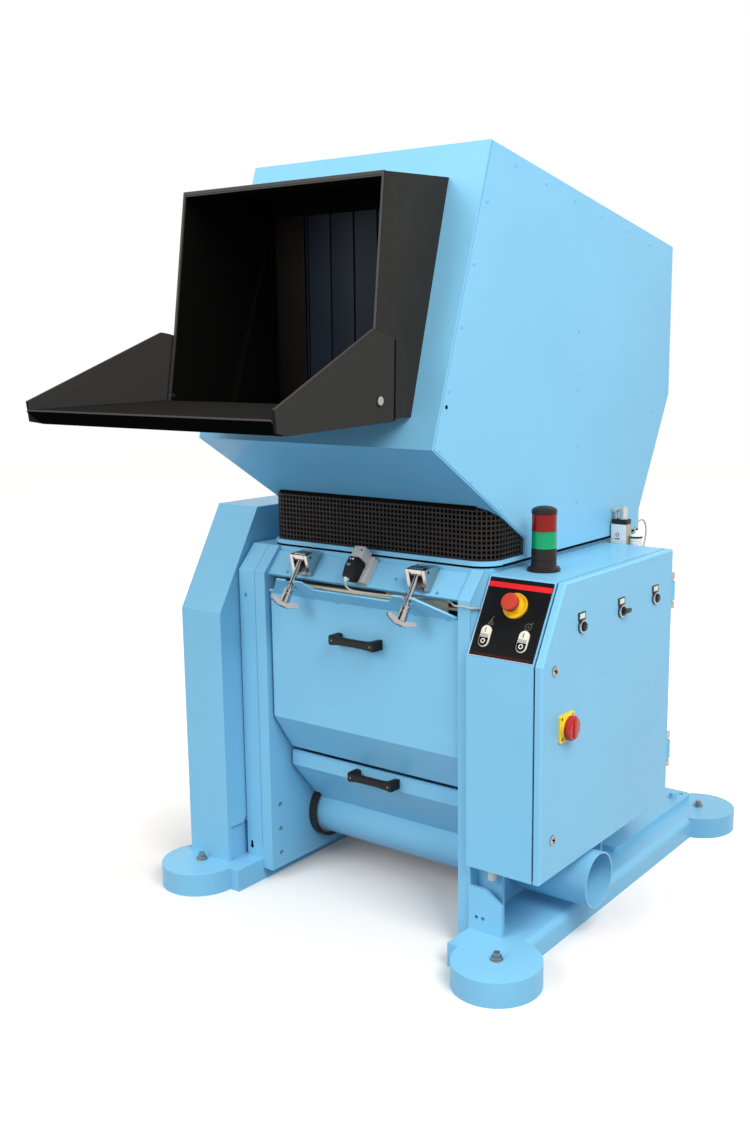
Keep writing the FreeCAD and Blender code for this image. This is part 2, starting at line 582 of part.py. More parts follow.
# connector beside it and its lead into the cabinet
CON_X = LX + SW_W / 2 + 18.5
CON_Y = LY + 6.0
con_z = sw_top - 72.0
con_top = con_z + 50.0
put("rear_fitting", union([rod((CON_X, CON_Y, con_z), (0, 0, 1), 17, 50),
                           box(CON_X - 12, CON_X + 12, CAB_REAR, CON_Y - 6, con_z + 4, con_z + 16)]))

rear_path = [(CON_X - 4, CON_Y, con_top), (CON_X - 4, CON_Y + 1, con_top + 16),
             (CON_X + 1, CON_Y + 7, con_top + 30), (CON_X + 7, CON_Y + 18, con_top + 36),
             (CON_X + 11, CON_Y + 30, con_top + 26),
             (CON_X + 12, CON_Y + 36, con_top + 4), (CON_X + 10, CON_Y + 34, con_top - 24),
             (CON_X + 8, CON_Y + 22, con_top - 50), (CON_X + 7, CON_Y + 2, con_top - 68),
             (CON_X + 7, CAB_REAR + 8, con_top - 76), (CON_X + 7, CAB_REAR, con_top - 78)]
put("rear_lead", lead(rear_path, LEAD_R).cut(cab_block))

# motor at the rear, on its beams
motor = rod((-190, 450, 230), (1, 0, 0), 130, 330)
shaft = rod((guard_x, 450, 230), (1, 0, 0), 24, -190 - guard_x)
put("motor", Part.makeCompound([motor, shaft]))
put("rear_beams", Part.makeCompound([b.cut(motor).cut(left_plate).cut(right_plate) for b in beams]))

# hopper: six walls, moving together
A = (-403.0, hop_z0 + 933.5)
B = (-624.6, hop_z0 + 283.5)
C = (-249.0, hop_z0 + 48.5)
D = (-249.0, hop_z0)
E = (BASE_REAR - 3.7, hop_z0)
F = (BASE_REAR - 3.7, hop_z0 + 54.1)
G = (528.8, hop_z0 + 367.5)
H = (528.8, hop_z0 + 772.2)
hp = [A, B, C, D, E, F, G, H]
hi = offset(hp, HOP_T)
walls = [prism(hp, hop - HOP_T, hop), prism(hp, -hop, -hop + HOP_T)]
wx = hop - HOP_T


def wall(i, j):
    return prism([hp[i], hp[j], hi[j], hi[i]], -wx, wx)


HOOD_X = 254.0
OPEN_X = HOOD_X - 8.0
open_z0 = hop_z0 + 354.5
open_z1 = open_z0 + 500.0
front = wall(0, 1)
strips4 = [front.common(box(-wx, wx, -800, 0, open_z1, A[1] + 50)),
           front.common(box(-wx, wx, -800, 0, C[1] + 40, open_z0)),
           front.common(box(-wx, -OPEN_X, -800, 0, open_z0, open_z1)),
           front.common(box(OPEN_X, wx, -800, 0, open_z0, open_z1))]
walls += strips4 + [wall(1, 2), wall(2, 3), wall(4, 5), wall(5, 6), wall(6, 7), wall(7, 0)]
put("hopper_shell", Part.makeCompound(walls))

# rim under the hopper with rounded front corners, and the perforated skirt on it
MESH_Y = RIM_Y + 6.0
mesh_x = hop - 5.0
rim = box(-hop, hop, RIM_Y, D[0], hop_z0, rim_top)
rim = rounded(rim, lambda e: vertical_at(e, -hop, RIM_Y) or vertical_at(e, hop, RIM_Y), RIM_R)
mo = box(-mesh_x, mesh_x, MESH_Y, D[0], rim_top, C[1] + 140)
mo = rounded(mo, lambda e: vertical_at(e, -mesh_x, MESH_Y) or vertical_at(e, mesh_x, MESH_Y), RIM_R - 4)
mi = box(-mesh_x + 3, mesh_x - 3, MESH_Y + 3, D[0] + 10, rim_top - 22, C[1] + 240)
mi = rounded(mi, lambda e: vertical_at(e, -mesh_x + 3, MESH_Y + 3) or vertical_at(e, mesh_x - 3, MESH_Y + 3),
             RIM_R - 7)
skirt = mo.cut(mi)
room = [B, C, (C[0] + 50, C[1]), (C[0] + 50, B[1] + 105), (B[0], B[1] + 105)]
put("mesh_skirt", skirt.cut(prism(room, -hop, hop)))


# feed hood: four flared walls on the hopper front
def fx(y, base):
    return base + (-428.0 - y) * FLARE


def hood_face(z):
    return A[0] - (A[1] - z) / (A[1] - B[1]) * (A[0] - B[0])


def flared(pts, x_lo, x_hi):
    # side wall between two flared planes
    a = [V(fx(y, x_lo), y, z) for y, z in pts]
    b = [V(fx(y, x_hi), y, z) for y, z in pts]
    faces = [Part.Face(Part.makePolygon(a + [a[0]])), Part.Face(Part.makePolygon(b + [b[0]]))]
    n = len(pts)
    for i in range(n):
        j = (i + 1) % n
        faces.append(Part.Face(Part.makePolygon([a[i], a[j], b[j], b[i], a[i]])))
    return Part.makeSolid(Part.makeShell(faces))


def mirrored(s):
    return s.mirror(V(0, 0, 0), V(1, 0, 0))


def panel(y0, z0, y1, z1, t, base):
    # plate across the flared width, thickness t downwards
    a = [V(-fx(y0, base), y0, z0), V(fx(y0, base), y0, z0), V(fx(y1, base), y1, z1), V(-fx(y1, base), y1, z1)]
    f = Part.Face(Part.makePolygon(a + [a[0]]))
    return f.extrude(V(0, 0, -t))


hood_top = open_z1 + 5.0
hood_low = open_z0 - 5.0
MOUTH_Y = TRAY_TIP + 365.0
FL_Y = MOUTH_Y - 13.0
FL_Z = open_z0 + 35.0
hood_pts = [(hood_face(hood_top), hood_top), (MOUTH_Y + 42, hood_top - 20), (MOUTH_Y, FL_Z + 134),
            (FL_Y - 11, hood_low + 22), (FL_Y - 9, hood_low + 4), (FL_Y - 1, hood_low),
            (hood_face(hood_low), hood_low)]
hs = flared(hood_pts, HOOD_X - 5, HOOD_X)
hs = hs.cut(rod((HOOD_X - 50, FL_Y, FL_Z), (1, 0, 0), 5.0, 200))
behind = prism([A, B, (B[0] + 300, B[1]), (A[0] + 300, A[1])], -hop, hop)
hood = [hs, mirrored(hs),
        panel(hood_face(hood_top), hood_top, MOUTH_Y + 42, hood_top - 20, 5, HOOD_X - 5).cut(behind),
        panel(hood_face(open_z0), open_z0, FL_Y - 5, open_z0 + 5, 5, HOOD_X - 5).cut(behind)]
put("feed_hood", Part.makeCompound(hood))

# curtain strips behind the opening
strips = []
strip_w = (OPEN_X - 6.0) * 2 / 5
for k in range(5):
    x0 = -OPEN_X + 6 + k * strip_w
    strips.append(box(x0 + 1, x0 + strip_w - 1, -446, -442, open_z0 + 34, open_z1 - 14))
rail = box(-OPEN_X, OPEN_X, -452, -437.5, open_z1 - 22, open_z1 - 6)
rail2 = box(-wx, wx, -436, -426, open_z1 - 22, open_z1 - 6)
for w in strips4:
    rail2 = rail2.cut(w)
ahead = [A, B, (B[0] - 200, B[1]), (A[0] - 200, A[1])]
rail2 = rail2.cut(prism(ahead, -hop, -OPEN_X)).cut(prism(ahead, OPEN_X, hop))
put("curtain", union([rail, rail2] + strips))

# feed flap: tray with cheeks, folding up about its pivots
CHK = HOOD_X + 6.0
TIP = TRAY_TIP + 5.0
cheek_pts = [(TIP, FL_Z - 3), (TIP + 5, FL_Z - 45), (TIP + 35, FL_Z - 51), (MOUTH_Y + 45, FL_Z - 45),
             (MOUTH_Y + 52, FL_Z + 123), (MOUTH_Y - 7, FL_Z + 138), (MOUTH_Y - 26, FL_Z + 141)]
ck = flared(cheek_pts, CHK, CHK + 7)
ck = ck.cut(rod((HOOD_X - 50, FL_Y, FL_Z), (1, 0, 0), 5.0 + RUN, 200))
cheeks = [ck, mirrored(ck)]
tray_y = FL_Y - 17.0
fl = panel(tray_y, FL_Z - 11, TIP, FL_Z - 20, 5, CHK)
bev = prism([(TIP, FL_Z - 20), (TIP - 4.9, FL_Z - 23), (TIP + 30, FL_Z - 51), (TIP + 34, FL_Z - 49),
             (TIP + 5, FL_Z - 25)], -hop, hop)
tv = [V(-fx(tray_y, CHK), tray_y, FL_Z - 100), V(fx(tray_y, CHK), tray_y, FL_Z - 100),
      V(fx(TIP - 20, CHK), TIP - 20, FL_Z - 100), V(-fx(TIP - 20, CHK), TIP - 20, FL_Z - 100)]
wide = Part.Face(Part.makePolygon(tv + [tv[0]])).extrude(V(0, 0, 200))
bev = bev.common(wide)
put("feed_flap", Part.makeCompound(cheeks + [union([fl, bev])]))
pivots = rod((fx(FL_Y, HOOD_X) - 8, FL_Y, FL_Z), (1, 0, 0), 5, 24)
pivots = union([pivots, rod((fx(FL_Y, HOOD_X) + 14.5, FL_Y, FL_Z), (1, 0, 0), 9, 4.5)])
put("flap_pivots", Part.makeCompound([pivots, mirrored(pivots)]))

# hopper hinge: knuckles on the hopper, pin and lugs on the base
HNG_R = 13.0
HNG_PIN = 8.0
kn = []
lg = []
for cx in (-220.0, 220.0):
    k = union([rod((cx - 30, HINGE_Y, HINGE_Z), (1, 0, 0), HNG_R, 60),
               box(cx - 30, cx + 30, E[0], HINGE_Y + 5, HINGE_Z, hop_z0 + 30)])
    k = k.cut(rod((cx - 40, HINGE_Y, HINGE_Z), (1, 0, 0), HNG_PIN + RUN, 80))
    k = k.cut(box(cx - 31, cx + 31, E[0] - 10, BASE_REAR + 5.5, HINGE_Z - 20, hop_z0))
    kn.append(k)
    for dx in (-54.0, 36.0):
        lg.append(rod((cx + dx, HINGE_Y, HINGE_Z), (1, 0, 0), HNG_R, 18))
        lg.append(box(cx + dx, cx + dx + 18, BASE_REAR, HINGE_Y + 12, HINGE_Z - 60, HINGE_Z))
    lg.append(rod((cx - 54, HINGE_Y, HINGE_Z), (1, 0, 0), HNG_PIN, 108))
put("hinge_lugs", Part.makeCompound([union(lg[0:5]), union(lg[5:10])]))
put("hopper_rim", Part.makeCompound([rim] + kn))

total = None
for s in nodes.values():
    total = s.BoundBox if total is None else total.united(s.BoundBox)
print(len(nodes), "nodes", [round(v, 1) for v in (total.XMin, total.XMax, total.YMin, total.YMax, total.ZMin,
                                                 total.ZMax)])
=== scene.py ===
# %% [markdown]
# # A plastic granulator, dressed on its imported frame
# The frame is the CAD model of the machine: its nodes, bodies and joints. Every
# part could be modelled anew, but then nothing would move as the frame does. So
# this lesson gives each node a procedural finish, and adds on top the small pieces
# that CAD leaves out: the perforated skirt, screws, handles, curtain and cables.

# %% Load the frame
import bpy
import bmesh
import json
import math
from mathutils import Matrix, Vector


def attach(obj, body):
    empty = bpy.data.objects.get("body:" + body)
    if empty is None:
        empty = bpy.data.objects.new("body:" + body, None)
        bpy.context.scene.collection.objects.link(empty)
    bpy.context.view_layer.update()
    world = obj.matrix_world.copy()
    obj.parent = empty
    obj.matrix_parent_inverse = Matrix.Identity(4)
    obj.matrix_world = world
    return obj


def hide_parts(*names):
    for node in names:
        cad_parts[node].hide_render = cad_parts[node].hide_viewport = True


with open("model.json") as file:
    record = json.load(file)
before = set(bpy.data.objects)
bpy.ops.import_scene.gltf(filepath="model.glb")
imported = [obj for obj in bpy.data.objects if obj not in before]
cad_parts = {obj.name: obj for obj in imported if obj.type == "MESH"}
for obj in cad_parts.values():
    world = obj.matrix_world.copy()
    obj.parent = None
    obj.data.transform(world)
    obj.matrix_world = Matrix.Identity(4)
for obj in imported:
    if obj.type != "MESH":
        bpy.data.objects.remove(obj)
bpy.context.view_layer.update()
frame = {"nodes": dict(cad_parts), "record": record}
scene = bpy.context.scene
scene.view_settings.view_transform = "Standard"
SY = 0.2215  # metres from the machine's zero to the frame's, along y

# %% [markdown]
# ## Millimetres and drawing boards
# The machine was measured in millimetres, from a zero midway between its foot
# pads. The frame is in metres, from the middle of its box. `P` turns the one into
# the other. A `Spot` is a drawing board laid on a panel at any slope. Pieces are
# drawn flat on it, which is easier than turning them into place afterwards.

# %% Millimetres and drawing boards
MM = 1000.0
RIGHT = (0, 1, 0), (0, 0, 1)
LEFT = (0, -1, 0), (0, 0, 1)
FRONT = (1, 0, 0), (0, 0, 1)
TOP = (1, 0, 0), (0, 1, 0)


def P(x, y, z):
    return Vector((x / MM, y / MM + SY, z / MM))


class Spot:
    """A small drawing board in the machine's millimetres: an origin and three directions."""

    def __init__(self, origin, u, v):
        self.o = Vector(origin)
        self.u = Vector(u).normalized()
        self.v = Vector(v).normalized()
        self.n = self.u.cross(self.v)

    def mm(self, a, b, c):
        return self.o + self.u * a + self.v * b + self.n * c

    def __call__(self, a, b, c=0.0):
        return P(*self.mm(a, b, c))


print("boards face right, left, front and up")

# %% [markdown]
# ## From drawing to piece
# Each piece is drawn in a `bmesh`, a mesh that Python can edit, and then becomes
# one object. It gets its finish, rides its body, and may take the place of a
# plain CAD node. Faces that meet at a low angle are shaded as one round surface,
# which needs fewer faces than a truly round one.

# %% From drawing to piece
SHARP = math.radians(32)
mats = {}


def piece(name, bm, body, mat, instead_of=None):
    # makes the drawn shape an object that rides its body
    mesh = bpy.data.meshes.new(name)
    bm.to_mesh(mesh)
    bm.free()
    obj = bpy.data.objects.new(name, mesh)
    scene.collection.objects.link(obj)
    mesh.materials.append(mats[mat])
    for face in mesh.polygons:
        face.use_smooth = True
    mesh.set_sharp_from_angle(angle=SHARP)
    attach(obj, body)
    if instead_of:
        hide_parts(instead_of)
    return obj


print("a piece is sharp where its faces meet at more than", round(math.degrees(SHARP)), "degrees")

# %% [markdown]
# ## Outlines
# A plate starts as an outline: a list of points in the plane of its board. Corners
# are short arcs, since cut sheet has no needle-sharp corner. `shrink` draws the
# same outline a little smaller. It could be left to a modifier, but here the eased
# edge stays under control.

# %% Outlines
def circle(r, count=32, a0=0.0, b0=0.0):
    turns = [2 * math.pi * i / count for i in range(count)]
    return [(a0 + r * math.cos(t), b0 + r * math.sin(t)) for t in turns]


def rounded(w, h, r, steps=5, a0=0.0, b0=0.0):
    # outline of a rectangle w by h with corners of radius r
    out = []
    for k, (sx, sy) in enumerate(((1, 1), (-1, 1), (-1, -1), (1, -1))):
        for i in range(steps + 1):
            t = math.pi / 2 * (k + i / steps)
            out.append((a0 + sx * (w / 2 - r) + r * math.cos(t),
                        b0 + sy * (h / 2 - r) + r * math.sin(t)))
    return out


def shrink(outline, t):
    # the same outline, t smaller all round, for plates with an eased edge
    out = []
    count = len(outline)
    for i in range(count):
        a, b, c = (Vector(outline[k % count]) for k in (i - 1, i, i + 1))
        m = (b - a).normalized()
        k = (c - b).normalized()
        side = Vector((-(m.y + k.y), m.x + k.x)) / max(0.35, 1.0 + m.dot(k))
        out.append((b.x + side.x * t, b.y + side.y * t))
    return out


print("outlines: circle, rounded rectangle and a smaller copy of any")

# %% [markdown]
# ## Plates and turned shapes
# Most of the machine is plate or turned metal. A plate is an outline with a
# thickness. Its upper edge is eased, as a file would ease it, because a knife-sharp
# edge catches no light. A turned shape is a profile carried round, as on a lathe.

# %% Plates and turned shapes
def tube(bm, a, b):
    # faces all round between two closed rows
    for i in range(len(a)):
        j = (i + 1) % len(a)
        bm.faces.new((a[i], a[j], b[j], b[i]))


def skin(bm, loops):
    # joins closed loops of points, one after another, and closes both ends
    rows = [[bm.verts.new(p) for p in loop] for loop in loops]
    for a, b in zip(rows, rows[1:]):
        tube(bm, a, b)
    bm.faces.new(list(reversed(rows[0])))
    bm.faces.new(rows[-1])


def slab(bm, spot, outline, low, high, ease=0.0):
    # a plate with the given outline between two heights, its upper edge eased
    rings = [[spot(a, b, low) for a, b in outline]]
    if ease > 0.0:
        for k in range(4):
            t = math.pi / 2 * k / 3
            inner = shrink(outline, ease * (1.0 - math.cos(t)))
            rings.append([spot(a, b, high - ease + ease * math.sin(t)) for a, b in inner])
    else:
        rings.append([spot(a, b, high) for a, b in outline])
    skin(bm, rings)


def turned(bm, spot, profile, count=40, a0=0.0, b0=0.0):
    # a turned piece: (radius, height) pairs about the board's third direction
    skin(bm, [[spot(a, b, h) for a, b in circle(r, count, a0, b0)] for r, h in profile])


print("plates and turned shapes are ready")

# %% [markdown]
# ## Camera
# The camera stands where the picture was taken from. It could be placed by eye,
# but here its place and lens were solved from the machine's straight edges, so
# that each piece falls where it does in the picture. Its shift only carries the
# off-centre crop.

# %% Camera
PHOTO_W, PHOTO_H = 750.0, 1125.0
OPTICAL_X, OPTICAL_Y = 444.7, 563.2
cam_data = bpy.data.cameras.new("camera")
cam = bpy.data.objects.new("camera", cam_data)
scene.collection.objects.link(cam)
right = Vector((0.81719, 0.57636, -0.00256))
up = Vector((-0.09879, 0.14445, 0.98457))
ahead = Vector((-0.56783, 0.80433, -0.17499))
rot = Matrix((right, up, -ahead)).transposed()
cam.matrix_world = Matrix.Translation(P(1797.2, -2634.3, 1396.9)) @ rot.to_4x4()
cam_data.sensor_width = 36.0
cam_data.lens = 38.03
cam_data.shift_x = (PHOTO_W / 2 - OPTICAL_X) / PHOTO_H
cam_data.shift_y = (OPTICAL_Y - PHOTO_H / 2) / PHOTO_H
cam_data.clip_end = 60.0
scene.camera = cam
print("camera at", [round(v, 3) for v in cam.location])

# %% [markdown]
# ## Nodes
# A finish in Blender is a small net of nodes. They can be laid by hand in the
# shader editor. Three helpers make and join them from Python instead, so that
# every finish is written down in one line. The fourth one tells what is looked at
# from what only lights the scene.

# %% Nodes
def add_node(tree, kind, values=()):
    # one shader node, with some of its inputs set
    node = tree.nodes.new("ShaderNode" + kind)
    for socket, value in dict(values).items():
        node.inputs[socket].default_value = value
    return node


def wire(tree, source, out, target, into):
    # joins an output of one node to an input of another
    tree.links.new(source.outputs[out], target.inputs[into])


def plain_mat(name, colour, rough):
    # a finish of one colour and roughness, its net and its shader
    mat = bpy.data.materials.new(name)
    mat.use_nodes = True
    shader = mat.node_tree.nodes["Principled BSDF"]
    shader.inputs["Base Color"].default_value = (*colour, 1.0)
    shader.inputs["Roughness"].default_value = rough
    return mat, mat.node_tree, shader


def seen_rays(tree):
    # one for what is looked at or mirrored, zero for the light that is cast
    path = add_node(tree, "LightPath")
    seen = add_node(tree, "Math")
    seen.operation = "MAXIMUM"
    wire(tree, path, "Is Camera Ray", seen, 0)
    wire(tree, path, "Is Glossy Ray", seen, 1)
    return seen


print("node helpers ready")

# %% [markdown]
# ## Floor
# The floor is matt and pale. Near the machine it is lit like any floor, so a soft
# shadow lies under the feet. Farther out it glows a little more, and the picture
# fades to the plain white of a studio. Stronger lamps would whiten the floor too,
# but they would also bleach the paint.

# %% Floor
SHADOW_CENTRE = (0.1, -0.5, 0.0)
SHADOW_REACH, WHITE_REACH = 0.75, 1.35
GLOW_NEAR, GLOW_FAR = 0.04, 0.44
HALF = 12

# the floor that lights the machine, and the floor that is looked at
floor_mat, tree, shader = plain_mat("floor_pale", (0.21, 0.30, 0.38), 0.95)
shader.inputs["Specular IOR Level"].default_value = 0.0
for_eye = add_node(tree, "BsdfDiffuse", {"Color": (0.95, 0.90, 0.85, 1.0)})
glow = add_node(tree, "Emission")
place = add_node(tree, "TexCoord")
reach = add_node(tree, "VectorMath")
reach.operation = "DISTANCE"
reach.inputs[1].default_value = SHADOW_CENTRE
more = add_node(tree, "MapRange", {"From Min": SHADOW_REACH, "From Max": WHITE_REACH,
                                   "To Min": GLOW_NEAR, "To Max": GLOW_FAR})
both = add_node(tree, "AddShader")
pick = add_node(tree, "MixShader")
wire(tree, place, "Object", reach, 0)
wire(tree, reach, "Value", more, "Value")
wire(tree, more, "Result", glow, "Strength")
wire(tree, for_eye, 0, both, 0)
wire(tree, glow, 0, both, 1)
wire(tree, seen_rays(tree), 0, pick, "Fac")
wire(tree, shader, 0, pick, 1)
wire(tree, both, 0, pick, 2)
wire(tree, pick, 0, tree.nodes["Material Output"], "Surface")
floor = bpy.data.objects.new("floor", bpy.data.meshes.new("floor"))
floor.data.from_pydata([(-HALF, -HALF, 0), (HALF, -HALF, 0), (HALF, HALF, 0), (-HALF, HALF, 0)],
                       [], [(0, 1, 2, 3)])
floor.data.materials.append(floor_mat)
scene.collection.objects.link(floor)
print("floor of", 2 * HALF, "by", 2 * HALF, "metres")

# %% [markdown]
# ## Studio light
# The world is an even light from all sides, white to the camera and in glossy
# reflections and weaker as light on the machine. Three large lamps model the form:
# a key light from the right, a weaker one in front and a faint one above. Small
# lamps would throw hard shadows, which the picture doesn't have.

# %% World and lamps
CAST_LIGHT, SEEN_WHITE = 0.62, 1.0

world = bpy.data.worlds.new("world")
scene.world = world
world.use_nodes = True
tree = world.node_tree
back = tree.nodes["Background"]
back.inputs["Color"].default_value = (1.0, 1.0, 1.0, 1.0)
level = add_node(tree, "MapRange", {"To Min": CAST_LIGHT, "To Max": SEEN_WHITE})
wire(tree, seen_rays(tree), 0, level, "Value")
wire(tree, level, "Result", back, "Strength")


def lamp(name, place, aim, size, power):
    # a square lamp, its side in metres and its power in watts, aimed at a point
    data = bpy.data.lights.new(name, "AREA")
    data.shape = "SQUARE"
    data.size = size
    data.energy = power
    obj = bpy.data.objects.new(name, data)
    scene.collection.objects.link(obj)
    obj.visible_glossy = False
    obj.location = place
    obj.rotation_euler = (Vector(aim) - Vector(place)).to_track_quat("-Z", "Y").to_euler()


lamp("lamp_key", (3.5, -1.6, 4.3), (0.0, 0.0, 0.9), 2.6, 190)
lamp("lamp_front", (-1.0, -4.5, 3.1), (0.0, 0.0, 0.8), 2.4, 98)
lamp("lamp_top", (0.3, -0.4, 5.2), (0.1, 0.0, 0.9), 3.0, 15)
print("world and three soft lamps")

# %% [markdown]
# ## Finishes
# Every finish is made of nodes in object space, so it keeps its scale in metres:
# a large slow drift of tone, a fine grain such as orange peel, and a roughness
# that changes a little across the surface. A picture of paint could be wrapped on
# instead, but it would stretch over the folds.

# %% Material recipes
NOISE_LOW, NOISE_HIGH = 0.3, 0.7
PATCH_SCALE = 28.0
COAT_ROUGH = 0.12
GRAIN_DEPTH = 0.0006


def noise(tree, scale, detail):
    # a cloudy pattern in the object's own space
    tex = add_node(tree, "TexNoise", {"Scale": scale, "Detail": detail})
    wire(tree, add_node(tree, "TexCoord"), "Object", tex, "Vector")
    return tex


def finish(name, colour, rough, drift, drift_scale, grain, grain_scale, spread, metallic=0.0,
           coat=0.0, specular=0.5):
    # tone, roughness and grain each follow a noise of their own scale
    mat, tree, shader = plain_mat(name, colour, rough)
    for socket, value in (("Metallic", metallic), ("Coat Weight", coat),
                          ("Coat Roughness", COAT_ROUGH), ("Specular IOR Level", specular)):
        shader.inputs[socket].default_value = value
    ramp = add_node(tree, "ValToRGB")
    for stop, where, share in zip(ramp.color_ramp.elements, (NOISE_LOW, NOISE_HIGH),
                                  (1.0 - drift, 1.0 + drift)):
        stop.position = where
        stop.color = (*[min(1.0, c * share) for c in colour], 1.0)
    span = add_node(tree, "MapRange", {"From Min": NOISE_LOW, "From Max": NOISE_HIGH,
                                       "To Min": max(0.02, rough - spread),
                                       "To Max": min(1.0, rough + spread)})
    bump = add_node(tree, "Bump", {"Strength": grain, "Distance": GRAIN_DEPTH})
    wire(tree, noise(tree, drift_scale, 3.0), "Fac", ramp, "Fac")
    wire(tree, ramp, "Color", shader, "Base Color")
    wire(tree, noise(tree, PATCH_SCALE, 4.0), "Fac", span, "Value")
    wire(tree, span, "Result", shader, "Roughness")
    wire(tree, noise(tree, grain_scale, 2.0), "Fac", bump, "Height")
    wire(tree, bump, "Normal", shader, "Normal")
    mats[name] = mat


print("recipes ready")

# %% [markdown]
# ## Painted sheet metal
# The base, hopper and cabinet are powder coated, in a light blue and a warm black,
# both with a fine orange peel. One black could serve for all, but the inside of
# the hood sees little light, so a much deeper black there is painted shade, and it
# also darkens holes, slots and hollows. The tray is duller than the rest, and its
# tone is painted shade and light. The darker blue is the colour of a gap between
# two blue sheets.

# %% Painted sheet metal
# name, colour, roughness, drift of tone and its scale, grain and its scale, spread
# of the roughness, metal
BLUE = (0.238, 0.572, 0.80)
finish("blue_paint", BLUE, 0.36, 0.035, 2.2, 0.10, 1400.0, 0.05, coat=0.03, specular=0.26)
finish("blue_tube", BLUE, 0.33, 0.035, 2.2, 0.08, 1400.0, 0.05, coat=0.05, specular=0.30)
finish("blue_shade", (0.10, 0.33, 0.56), 0.42, 0.04, 9.0, 0.08, 1400.0, 0.05)
finish("black_paint", (0.030, 0.028, 0.0255), 0.68, 0.10, 4.0, 0.18, 1100.0, 0.08, specular=0.06)
finish("black_mesh", (0.027, 0.023, 0.021), 0.55, 0.15, 6.0, 0.12, 1100.0, 0.08, specular=0.2)
finish("black_edge", (0.046, 0.043, 0.040), 0.40, 0.10, 4.0, 0.15, 1100.0, 0.08)
# painted shade: a near-black for the hood's insides, holes, slots and gaps, where little light
# comes
finish("black_and_shade", (0.0035, 0.0033, 0.0031), 0.80, 0.10, 4.0, 0.1, 1100.0, 0.05, specular=0.04)
# painted shade: the black of the panel at the curtain's left, where the hood shades it
finish("shade_panel_black", (0.0085, 0.0075, 0.0060), 0.60, 0.10, 6.0, 0.1, 1100.0, 0.05, specular=0.10)
# its colour is replaced below by painted shade and light that follow the faces
finish("flap_painted_shade", (0.042, 0.040, 0.037), 0.72, 0.10, 4.0, 0.12, 1100.0, 0.06, specular=0.0)
finish("olive_grey", (0.36, 0.355, 0.28), 0.60, 0.15, 8.0, 0.15, 900.0, 0.08)
print(len(mats), "finishes so far")

# %% [markdown]
# ## Bare metal
# Bolts and rings are stainless, other fittings are plain steel. Metal is all
# mirror, so its look comes from how rough it is. The rollers are only partly metal.
# The thin rod is barely metal, and its pale, bright colour is a painted reflection.

# %% Bare metal
finish("stainless", (0.49, 0.475, 0.46), 0.22, 0.06, 20.0, 0.16, 700.0, 0.08, 1.0)
finish("steel", (0.42, 0.41, 0.39), 0.34, 0.10, 25.0, 0.15, 900.0, 0.08, 1.0)
# painted reflection: a pale, bright rod colour in place of the shine of polished metal
finish("rod_painted_reflection", (0.95, 0.85, 0.62), 0.32, 0.06, 30.0, 0.10, 900.0, 0.06, 0.15)
finish("cream_roller", (0.62, 0.60, 0.55), 0.30, 0.05, 30.0, 0.06, 1200.0, 0.05, 0.6)
print(len(mats), "finishes so far")

# %% [markdown]
# ## Plastics and lenses
# Buttons, switches and the signal light are moulded plastic. It shines more
# sharply than powder coat, so it is smoother and some of it has a thin clear coat.
# The lenses are closed, deep-coloured pieces, because clear ones would show that
# they are empty.

# %% Plastics and lenses
finish("black_plastic", (0.012, 0.012, 0.0125), 0.44, 0.10, 12.0, 0.20, 1600.0, 0.06, specular=0.35)
finish("grey_plastic", (0.46, 0.45, 0.44), 0.45, 0.05, 18.0, 0.15, 1200.0, 0.06)
finish("beige_plastic", (0.66, 0.61, 0.52), 0.42, 0.04, 18.0, 0.10, 1200.0, 0.05)
finish("panel_black", (0.0065, 0.0065, 0.0068), 0.36, 0.08, 9.0, 0.06, 1500.0, 0.05, specular=0.22)
finish("yellow_plastic", (0.90, 0.52, 0.012), 0.30, 0.03, 15.0, 0.05, 1200.0, 0.04, coat=0.2)
finish("red_plastic", (0.62, 0.040, 0.022), 0.30, 0.04, 15.0, 0.05, 1200.0, 0.04, coat=0.2)
finish("cream_plastic", (0.80, 0.76, 0.62), 0.32, 0.03, 15.0, 0.05, 1200.0, 0.04, coat=0.2)
finish("lemon_plastic", (0.93, 0.63, 0.020), 0.30, 0.03, 15.0, 0.05, 1200.0, 0.04, coat=0.1)
finish("green_lens", (0.0, 0.34, 0.13), 0.22, 0.05, 20.0, 0.04, 900.0, 0.04, coat=0.05,
       specular=0.25)
finish("red_lens", (0.26, 0.005, 0.004), 0.22, 0.05, 20.0, 0.04, 900.0, 0.04, coat=0.05,
       specular=0.25)
finish("red_matt", (0.55, 0.050, 0.024), 0.55, 0.06, 25.0, 0.14, 1500.0, 0.06, specular=0.35)
finish("red_gloss", (0.48, 0.012, 0.009), 0.26, 0.05, 20.0, 0.04, 1200.0, 0.04, coat=0.1,
       specular=0.3)
finish("beacon_black", (0.019, 0.016, 0.0135), 0.38, 0.08, 14.0, 0.10, 1400.0, 0.06, specular=0.22)
finish("handle_black", (0.0065, 0.0065, 0.0065), 0.48, 0.08, 14.0, 0.16, 1300.0, 0.06,
       specular=0.25)
finish("switch_grey", (0.54, 0.505, 0.485), 0.50, 0.06, 25.0, 0.25, 700.0, 0.06)
finish("olive_case", (0.50, 0.44, 0.33), 0.42, 0.05, 20.0, 0.12, 1200.0, 0.05)
finish("white_label", (0.80, 0.785, 0.77), 0.38, 0.02, 30.0, 0.04, 1200.0, 0.04)
print(len(mats), "finishes so far")

# %% [markdown]
# ## Rubber, leads and print
# The curtain and the seals are soft rubber with a dull sheen, and the leads have
# a smooth grey jacket. Printed marks are thin and even, so their tone hardly
# drifts.

